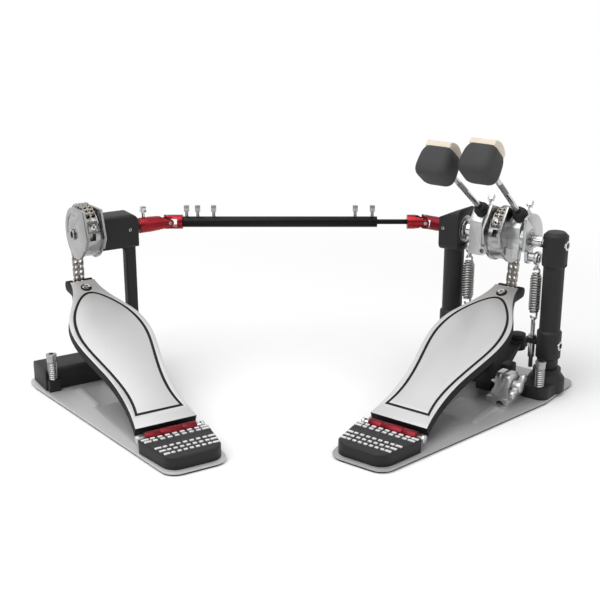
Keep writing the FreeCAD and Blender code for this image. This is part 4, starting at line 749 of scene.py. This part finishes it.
# %% Working on one piece
def clean_start():
    if bpy.context.mode != "OBJECT":
        bpy.ops.object.mode_set(mode="OBJECT")
    bpy.ops.object.select_all(action="DESELECT")


def take(obj):
    clean_start()
    obj.select_set(True)
    bpy.context.view_layer.objects.active = obj


def apply_modifiers(obj):
    take(obj)
    for modifier in list(obj.modifiers):
        bpy.ops.object.modifier_apply(modifier=modifier.name)


def dress(obj, finish):
    obj.data.materials.clear()
    obj.data.materials.append(finish)


def settle(obj, place):
    take(obj)
    obj.matrix_world = place @ obj.matrix_world
    bpy.ops.object.transform_apply(location=True, rotation=True, scale=True)


print("helpers ready")

# %% [markdown]
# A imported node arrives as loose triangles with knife-sharp edges. A copy of it is merged, its flat areas
# are dissolved back into whole faces, and a narrow bevel rounds each edge as casting or deburring does.
# The copy then stands for the node and rides on the same body. Where two pieces touch at the end of their
# travel, a trim draws one of them in by a hair's breadth.

# %% Rounding one node
smooth_angle = math.radians(32)
bevel_angle = math.radians(35)
flat_angle = math.radians(0.6)
bevel_segments = 2
merge_distance = 0.000004


def merged_copy(node):
    piece = bpy.data.objects.new(node + "_finished", frame["nodes"][node].data.copy())
    bpy.context.scene.collection.objects.link(piece)
    take(piece)
    bpy.ops.object.mode_set(mode="EDIT")
    bpy.ops.mesh.select_all(action="SELECT")
    bpy.ops.mesh.remove_doubles(threshold=merge_distance)
    bpy.ops.mesh.dissolve_limited(angle_limit=flat_angle)
    bpy.ops.object.mode_set(mode="OBJECT")
    return piece


def rounded(node, finish, width, trim=0):
    """Stands a copy with rounded edges for a node."""
    piece = merged_copy(node)
    bevel = piece.modifiers.new("edges", "BEVEL")
    bevel.width = width
    bevel.segments = bevel_segments
    bevel.limit_method = "ANGLE"
    bevel.angle_limit = bevel_angle
    bevel.use_clamp_overlap = True
    if trim:
        drawn = piece.modifiers.new("clearance", "DISPLACE")
        drawn.mid_level = 0
        drawn.strength = -trim
    apply_modifiers(piece)
    bpy.ops.object.shade_smooth_by_angle(angle=smooth_angle)
    dress(piece, finish)
    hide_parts(node)
    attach(piece, body_of_node[node])


print("bevels of", bevel_segments, "segments")

# %% [markdown]
# How wide an edge is rounded tells how a piece was made: a hair on stamped chain plates, a little on
# turned and milled pieces, a millimetre and more on castings and moulded rubber.

# %% Rounding all nodes
chain_edge = 0.00012
yoke_edge = 0.00025
thin_edge = 0.0003
turned_edge = 0.0004
milled_edge = 0.0005
small_cast_edge = 0.0008
plate_edge = 0.0009
post_edge = 0.0010
cast_edge = 0.0012
wide_cast_edge = 0.0014
soft_edge = 0.0015
wing_edge = 0.0018
yoke_trim = 0.00015

rounded_nodes = [
    ("main_base_plate", main_plate_shaded_metal, plate_edge),
    ("slave_base_plate", slave_plate_metal, plate_edge),
    ("floor_mats", mat_rubber, thin_edge),
    ("heel_plates", heel_black, thin_edge),
    ("heel_hinges", hinge_red, turned_edge),
    ("main_foot", black, cast_edge),
    ("main_left_post", black, post_edge),
    ("main_right_post", black, small_cast_edge),
    ("slave_post", black, wide_cast_edge),
    ("main_axle", polished, turned_edge),
    ("shaft_bearings", dull_steel, thin_edge),
    ("spring_bolts", satin, thin_edge),
    ("clamp_bracket", cast_grey, cast_edge),
    ("clamp_lever", black, soft_edge),
    ("clamp_pad", cap_plastic, small_cast_edge),
    ("main_footboard", main_board_metal, milled_edge),
    ("slave_footboard", slave_board_metal, milled_edge),
    ("main_board_hinge", red, turned_edge),
    ("slave_board_hinge", red, turned_edge),
    ("main_cam", cam_metal, milled_edge),
    ("slave_cam", cam_metal, milled_edge),
    ("rotor_bearing", dull_steel, thin_edge),
    ("main_beater_hub", satin, small_cast_edge),
    ("left_beater_hub", satin, small_cast_edge),
    ("main_rocker_arm", satin, milled_edge),
    ("left_shaft", polished, turned_edge),
    ("main_hub_cap", cap_plastic, milled_edge),
    ("left_hub_cap", cap_plastic, milled_edge),
    ("main_beater_rod", rod_chrome, turned_edge),
    ("left_beater_rod", rod_chrome, turned_edge),
    ("main_spring_rocker", satin, turned_edge),
    ("left_spring_rocker", satin, turned_edge),
    ("main_yoke", red, yoke_edge),
    ("slave_yoke", yoke_red_painted_light, yoke_edge),
    ("drive_yokes", yoke_red_painted_light, yoke_edge),
    ("slave_cross", dull_steel, turned_edge),
    ("drive_cross", dull_steel, turned_edge),
    ("slave_shaft", polished, turned_edge),
    ("drive_tube", tube_black, milled_edge),
    ("drive_rod", tube_black, thin_edge),
    ("key_screws", zinc, milled_edge),
    ("clamp_wing_bolt", cast_grey, wing_edge),
    ("spur_screws", zinc, turned_edge),
    ("main_beater_head", head_rubber, soft_edge),
    ("left_beater_head", head_rubber, soft_edge),
]
rounded_nodes += [(node, chain_metal, chain_edge) for node in frame["nodes"] if "_chain_" in node]
trims = {"main_yoke": yoke_trim}
for node, finish, width in rounded_nodes:
    rounded(node, finish, width, trims.get(node, 0))
print("rounded", len(rounded_nodes), "nodes")

# %% [markdown]
# A return spring is close-wound wire with a hook at each end. The Screw modifier could wind a circle, but
# it can't narrow the last turns or bend the hooks, so the centre line is worked out turn by turn, from
# the lower hook through the coil to the upper hook.

# %% Path of a spring
wire_radius = 0.00122
coil_radius = 0.0056
coil_end_share = 0.62
coil_turns = 16
coil_pitch = 0.00305
taper_turns = 1.84
hook_radius = 0.0036
hook_neck = 0.0022
points_per_turn = 28


def hook_path(centre, start):
    """Half a ring of wire around a height, from a start angle."""
    steps = points_per_turn // 2
    angles = [start + math.pi * i / steps for i in range(steps + 1)]
    return [Vector((hook_radius * math.cos(a), 0, centre + hook_radius * math.sin(a))) for a in angles]


def coil_path(low, high):
    count = coil_turns * points_per_turn
    path = []
    for i in range(count + 1):
        at = i / points_per_turn
        taper = min(1, at / taper_turns, (coil_turns - at) / taper_turns)
        radius = coil_radius * (coil_end_share + (1 - coil_end_share) * taper)
        angle = 2 * math.pi * at
        height = low + (high - low) * i / count
        path.append(Vector((radius * math.cos(angle), radius * math.sin(angle), height)))
    return path


def spring_path(node):
    """The wire's centre line, and the top and bottom between which the spring stretches."""
    low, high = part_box(node)
    x, y = (low.x + high.x) / 2, (low.y + high.y) / 2
    bottom, top = low.z + wire_radius, high.z - wire_radius
    coil_high = top - hook_radius - hook_neck
    coil_low = coil_high - coil_turns * coil_pitch
    path = hook_path(bottom + hook_radius, math.pi) + coil_path(coil_low, coil_high)
    path += hook_path(top - hook_radius, 0)
    turn = Matrix.Rotation(main_pedal.to_euler().z, 3, "Z")
    return [turn @ p + Vector((x, y, 0)) for p in path], Vector((x, y, top)), Vector((x, y, bottom))


print("a spring has", coil_turns, "turns")

# %% [markdown]
# A curve with a round bevel makes the wire. Each spring is listed with the rocker that pulls it and the end
# at its eyebolt, but the wire is not tied to either of them.

# %% Springs
wire_resolution = 3
springs = [
    ("main_spring", "main_rocker", "main_spring_end"),
    ("left_spring", "left_rocker", "left_spring_end"),
]


def coil_spring(node):
    path, top, bottom = spring_path(node)
    curve = bpy.data.curves.new(node + "_wire", "CURVE")
    curve.dimensions = "3D"
    curve.bevel_depth = wire_radius
    curve.bevel_resolution = wire_resolution
    curve.use_fill_caps = True
    line = curve.splines.new("POLY")
    line.points.add(len(path) - 1)
    for point, place in zip(line.points, path):
        point.co = (*place, 1)
    piece = bpy.data.objects.new(node + "_wire", curve)
    bpy.context.scene.collection.objects.link(piece)
    take(piece)
    bpy.ops.object.convert(target="MESH")
    piece = bpy.context.object
    bpy.ops.object.shade_smooth()
    dress(piece, spring_metal)
    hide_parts(node)
    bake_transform(piece)
    return piece


for node, rocker, end_body in springs:
    coil = coil_spring(node)
    print(node, "faces", len(coil.data.polygons))

# %% [markdown]
# The striking face of a beater is hard wool felt: cream, matt and slightly fuzzy. Strands of hair would
# show only under a magnifying glass, so the fuzz is fine noise in the bump, with some sheen at grazing
# angles.

# %% Wool felt
felt_dark = (0.66, 0.575, 0.465, 1)
felt_pale = (0.79, 0.705, 0.595, 1)
felt_sheen = 0.35
felt_gloss = 0.15
felt_roughness = (0.86, 0.98)
fibre_scale = 900
fibre_detail = 5
fibre_rough = 0.7
fibre_share = 0.4
fibre_strength = 0.8
fibre_depth = 0.0008
felt_cloud_scale = 60


def felt_finish():
    finish = Finish("wool_felt", Sheen_Weight=felt_sheen, Specular_IOR_Level=felt_gloss)
    here = finish.place()
    fibre = finish.noise(here, fibre_scale, fibre_detail, fibre_rough)
    clouds = finish.noise(here, felt_cloud_scale)
    tone = clouds * (1 - fibre_share) + fibre * fibre_share
    finish.set(Base_Color=finish.mix(tone, felt_dark, felt_pale),
               Roughness=fibre.between(*felt_roughness),
               Normal=finish.bump(fibre, fibre_strength, fibre_depth))
    return finish.material


felt = felt_finish()
print("made", felt.name)

# %% [markdown]
# At rest both beaters lean back from the drum, one a little more than the other. A frame at the middle of
# each beater block lets a felt be drawn flat at the origin and then be carried to its beater.

# %% Places of the beater blocks
main_lean = math.radians(51.0)
left_lean = math.radians(54.6)
rod_offset = 0.019
head_reach = 0.145
main_beater_x = 0.0212
left_beater_x = -0.0270


def beater_place(x, lean):
    side = Vector((0, math.cos(lean), math.sin(lean)))
    along = Vector((0, -math.sin(lean), math.cos(lean)))
    middle = Vector((x, 0, axle_height)) + side * rod_offset + along * head_reach
    return main_pedal @ Matrix.Translation(middle) @ Matrix.Rotation(quarter_turn + lean, 4, "X")


main_place = beater_place(main_beater_x, main_lean)
left_place = beater_place(left_beater_x, left_lean)
print("main beater block at", [round(v, 3) for v in main_place.translation])

# %% [markdown]
# A felt pad sits on the front of its beater block and has a crowned face. Sculpting would do, but the
# crown is a plain arch across the face, so a cube is cut into a grid and bulged over its front by a cosine.

# %% Felt with its crown
head_seam = 0.0105
felt_width = 0.0300
felt_height = 0.0292
felt_shoulder = 0.0060
felt_crown = 0.0045
crown_power = 0.8
felt_cuts = 9


def felt_block(name):
    """A cube at its size, just off the seam with the beater block, cut into a grid."""
    clean_start()
    bpy.ops.mesh.primitive_cube_add(size=1, location=(0, 0, -head_seam - felt_shoulder / 2))
    pad = bpy.context.object
    pad.name = name
    pad.scale = (felt_width, felt_height, felt_shoulder)
    bpy.ops.object.transform_apply(location=True, rotation=True, scale=True)
    bpy.ops.object.mode_set(mode="EDIT")
    bpy.ops.mesh.select_all(action="SELECT")
    bpy.ops.mesh.subdivide(number_cuts=felt_cuts)
    bpy.ops.object.mode_set(mode="OBJECT")
    return pad


def crown(pad):
    """Bulges the front, most in the middle and not at all at the seam."""
    for vertex in pad.data.vertices:
        share = -(vertex.co.z + head_seam) / felt_shoulder
        aside = min(1, abs(vertex.co.y) / (felt_height / 2))
        vertex.co.z -= felt_crown * share * math.cos(quarter_turn * aside) ** crown_power


print("felt is", round(felt_shoulder + felt_crown, 4), "m thick")

# %% [markdown]
# A bevel rounds the edges of the felt, and a subdivision surface softens the whole. The pad then rides on
# its rotor in place of the plain solid.

# %% Felt pads
felt_round = 0.0016
felt_segments = 3
felt_edge_angle = math.radians(50)


def felt_pad(name, node, place, body):
    pad = felt_block(name)
    crown(pad)
    edges = pad.modifiers.new("edges", "BEVEL")
    edges.width = felt_round
    edges.segments = felt_segments
    edges.limit_method = "ANGLE"
    edges.angle_limit = felt_edge_angle
    soft = pad.modifiers.new("soft", "SUBSURF")
    soft.levels = soft.render_levels = 1
    apply_modifiers(pad)
    bpy.ops.object.shade_smooth()
    dress(pad, felt)
    settle(pad, place)
    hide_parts(node)
    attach(pad, body)
    print(name, "faces", len(pad.data.polygons))


felt_pad("main_felt_pad", "main_beater_felt", main_place, "main_rotor")
felt_pad("left_felt_pad", "left_beater_felt", left_place, "left_rotor")

# %% [markdown]
# Screw heads are where a machine shows that it is a machine. One turned button serves for all of them: a
# cylinder whose top is inset and lifted into a low dome. A bare cylinder would look like a peg.

# %% Button of a screw
Head = namedtuple("Head", "radius height recess sides")
head_sides = 24
rim_share = 0.16
dome_share = 0.25
top_normal = 0.9


def pick_faces(obj, wanted):
    """Selects the faces that pass a test, and leaves the piece in edit mode."""
    bpy.ops.object.mode_set(mode="EDIT")
    bpy.ops.mesh.select_mode(type="FACE")
    bpy.ops.mesh.select_all(action="DESELECT")
    bpy.ops.object.mode_set(mode="OBJECT")
    for face in obj.data.polygons:
        face.select = wanted(face)
    bpy.ops.object.mode_set(mode="EDIT")


def button(head):
    clean_start()
    bpy.ops.mesh.primitive_cylinder_add(vertices=head_sides, radius=head.radius, depth=head.height,
                                        location=(0, 0, head.height / 2))
    piece = bpy.context.object
    bpy.ops.object.transform_apply(location=True, rotation=True, scale=True)
    pick_faces(piece, lambda face: face.normal.z > top_normal)
    bpy.ops.mesh.inset(thickness=head.radius * rim_share)
    bpy.ops.transform.translate(value=(0, 0, head.height * dome_share))
    bpy.ops.object.mode_set(mode="OBJECT")
    return piece


print("a screw head has", head_sides, "sides")

# %% [markdown]
# A key needs a socket. Insetting and sinking the top would leave it round, so a bar with as many sides as
# the key cuts it, as a broach does. The sunk faces get a near-black finish of their own, painted shade in
# the depth of the socket.

# %% Socket of a screw
recess_reach_share = 1.01
recess_top_share = 1.2
recess_floor_share = 0.3
socket_painted_shade = matt_rubber("socket_painted_shade", speck_scale=900,
                           dark=(0.006, 0.006, 0.006, 1), pale=(0.012, 0.012, 0.012, 1))


def cut_socket(piece, head):
    clean_start()
    bpy.ops.mesh.primitive_cylinder_add(vertices=head.sides, radius=head.recess, depth=head.height,
                                        location=(0, 0, head.height))
    broach = bpy.context.object
    take(piece)
    sink = piece.modifiers.new("socket", "BOOLEAN")
    sink.operation = "DIFFERENCE"
    sink.object = broach
    sink.solver = "EXACT"
    apply_modifiers(piece)
    bpy.data.objects.remove(broach, do_unlink=True)


def socket_screw(head, finish):
    """A low round head with its socket, drawn at the origin with its top towards +z."""
    piece = button(head)
    cut_socket(piece, head)
    dress(piece, finish)
    # The socket's faces take the near-black finish: painted shade.
    piece.data.materials.append(socket_painted_shade)
    for face in piece.data.polygons:
        within = face.center.xy.length < head.recess * recess_reach_share
        sunk = head.height * recess_floor_share < face.center.z < head.height * recess_top_share
        face.material_index = 1 if within and sunk else 0
    bpy.ops.object.shade_smooth_by_angle(angle=smooth_angle)
    return piece


def set_screw(name, body, place, head, finish=polished):
    piece = socket_screw(head, finish)
    piece.name = name
    settle(piece, place)
    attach(piece, body)


print("made", socket_painted_shade.name)

# %% [markdown]
# The screws hold the toe ends of the chains, their ends on the cams, the slave shaft and the collars on
# the right post, and small pins lock the bearing housings. Each place is given in the frame of its own
# pedal or board, with the way that its head looks.

# %% Screws and pins
hexagon = 6
dodecagon = 12
toe_head = Head(radius=0.0048, height=0.0014, recess=0.0022, sides=hexagon)
anchor_head = Head(radius=0.0034, height=0.0011, recess=0.0014, sides=hexagon)
shaft_head = Head(radius=0.0062, height=0.0012, recess=0.0046, sides=hexagon)
lower_collar_head = Head(radius=0.0054, height=0.0015, recess=0.0036, sides=hexagon)
upper_collar_head = Head(radius=0.0056, height=0.0015, recess=0.0036, sides=hexagon)
pin_head = Head(radius=0.0018, height=0.0005, recess=0.0011, sides=dodecagon)

to_top = (0, 0, 1)
to_player = (0, -1, 0)
to_left = (-1, 0, 0)
to_right = (1, 0, 0)
anchor_tilt = math.radians(16)
along_anchor = (0, -math.cos(anchor_tilt), math.sin(anchor_tilt))

toe_seat = (0, toe_screw_reach, 0.0004)
main_anchor = (0, -0.02168, 0.19867)
slave_anchor = (0, -0.0353, 0.1938)
shaft_end = (-0.0123, 0, axle_height)
lower_collar = (0.0774, 0, 0.060)
upper_collar = (0.0774, 0, 0.179)
main_pin = (-0.070, -0.0194, 0.1807)
slave_pin = (0.0525, -0.0154, 0.1795)


def facing(place, way):
    """A frame at a place whose z axis looks along a direction."""
    return Matrix.Translation(place) @ Vector(way).to_track_quat("Z", "Y").to_matrix().to_4x4()


set_screw("main_toe_screw", "main_board", main_board @ facing(toe_seat, to_top), toe_head)
set_screw("slave_toe_screw", "slave_board", slave_board @ facing(toe_seat, to_top), toe_head)
set_screw("main_anchor_screw", "main_rotor", main_pedal @ facing(main_anchor, along_anchor), anchor_head)
set_screw("slave_anchor_screw", "slave_rotor", slave_pedal @ facing(slave_anchor, to_player), anchor_head)
set_screw("slave_shaft_screw", "slave_rotor", slave_pedal @ facing(shaft_end, to_left), shaft_head,
          dull_steel)
set_screw("lower_collar_screw", "frame", main_pedal @ facing(lower_collar, to_right), lower_collar_head)
set_screw("upper_collar_screw", "frame", main_pedal @ facing(upper_collar, to_right), upper_collar_head)
set_screw("main_housing_pin", "frame", main_pedal @ facing(main_pin, to_player), pin_head)
set_screw("slave_housing_pin", "frame", slave_pedal @ facing(slave_pin, to_player), pin_head)

# %% [markdown]
# The floor spurs are coarse-threaded, and in the solid part they are plain shanks. A thread is a small
# triangle wound up along the shank, which is just what the Screw modifier does. The ends of the ridge are
# closed afterwards, so that it is a solid of its own.

# %% Thread of a spur
thread_root = 0.0043
thread_crest = 0.0055
thread_pitch = 0.0025
thread_half_share = 0.46
thread_low = 0.0182
thread_turns = 9
thread_steps = 20


def ridge_triangle():
    half = thread_half_share * thread_pitch
    corners = ((thread_root, -half), (thread_crest, 0), (thread_root, half))
    clean_start()
    bpy.ops.mesh.primitive_circle_add(vertices=len(corners), radius=thread_pitch, location=(0, 0, 0))
    ridge = bpy.context.object
    for vertex, (out, up) in zip(ridge.data.vertices, corners):
        vertex.co = (out, 0, thread_low + up)
    return ridge


def spur_thread():
    ridge = ridge_triangle()
    corner_count = len(ridge.data.vertices)
    wind = ridge.modifiers.new("wind", "SCREW")
    wind.axis = "Z"
    wind.screw_offset = thread_pitch
    wind.iterations = thread_turns
    wind.steps = wind.render_steps = thread_steps
    apply_modifiers(ridge)
    bpy.ops.object.mode_set(mode="EDIT")
    bpy.ops.mesh.select_all(action="SELECT")
    bpy.ops.mesh.fill_holes(sides=corner_count)
    bpy.ops.mesh.select_all(action="SELECT")
    bpy.ops.mesh.normals_make_consistent(inside=False)
    bpy.ops.object.mode_set(mode="OBJECT")
    bpy.ops.object.shade_smooth_by_angle(angle=smooth_angle)
    dress(ridge, zinc)
    return ridge


print("a thread has", thread_turns, "turns")

# %% [markdown]
# Three spurs keep the pedals from creeping, two on the main pedal and one on the slave. Each gets its own
# copy of the thread, and a socket in its top.

# %% Spurs
spur_top = 0.0488
spur_sink = 0.0010
spur_head = Head(radius=0.0061, height=0.0018, recess=0.0030, sides=hexagon)
main_spur_x = 0.071
main_spur_y = -0.032
slave_spur_x = -0.058
slave_spur_y = -0.030
spur_places = [
    main_pedal @ Vector((main_spur_x, main_spur_y, 0)),
    main_pedal @ Vector((-main_spur_x, main_spur_y, 0)),
    slave_pedal @ Vector((slave_spur_x, slave_spur_y, 0)),
]
for index, place in enumerate(spur_places):
    ridge = spur_thread()
    ridge.name = f"spur_thread_{index + 1}"
    settle(ridge, Matrix.Translation(place))
    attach(ridge, "frame")
    spur_face = Matrix.Translation(place + Vector((0, 0, spur_top - spur_sink)))
    set_screw(f"spur_face_{index + 1}", "frame", spur_face, spur_head, zinc)
print("threads and sockets on", len(spur_places), "spurs")
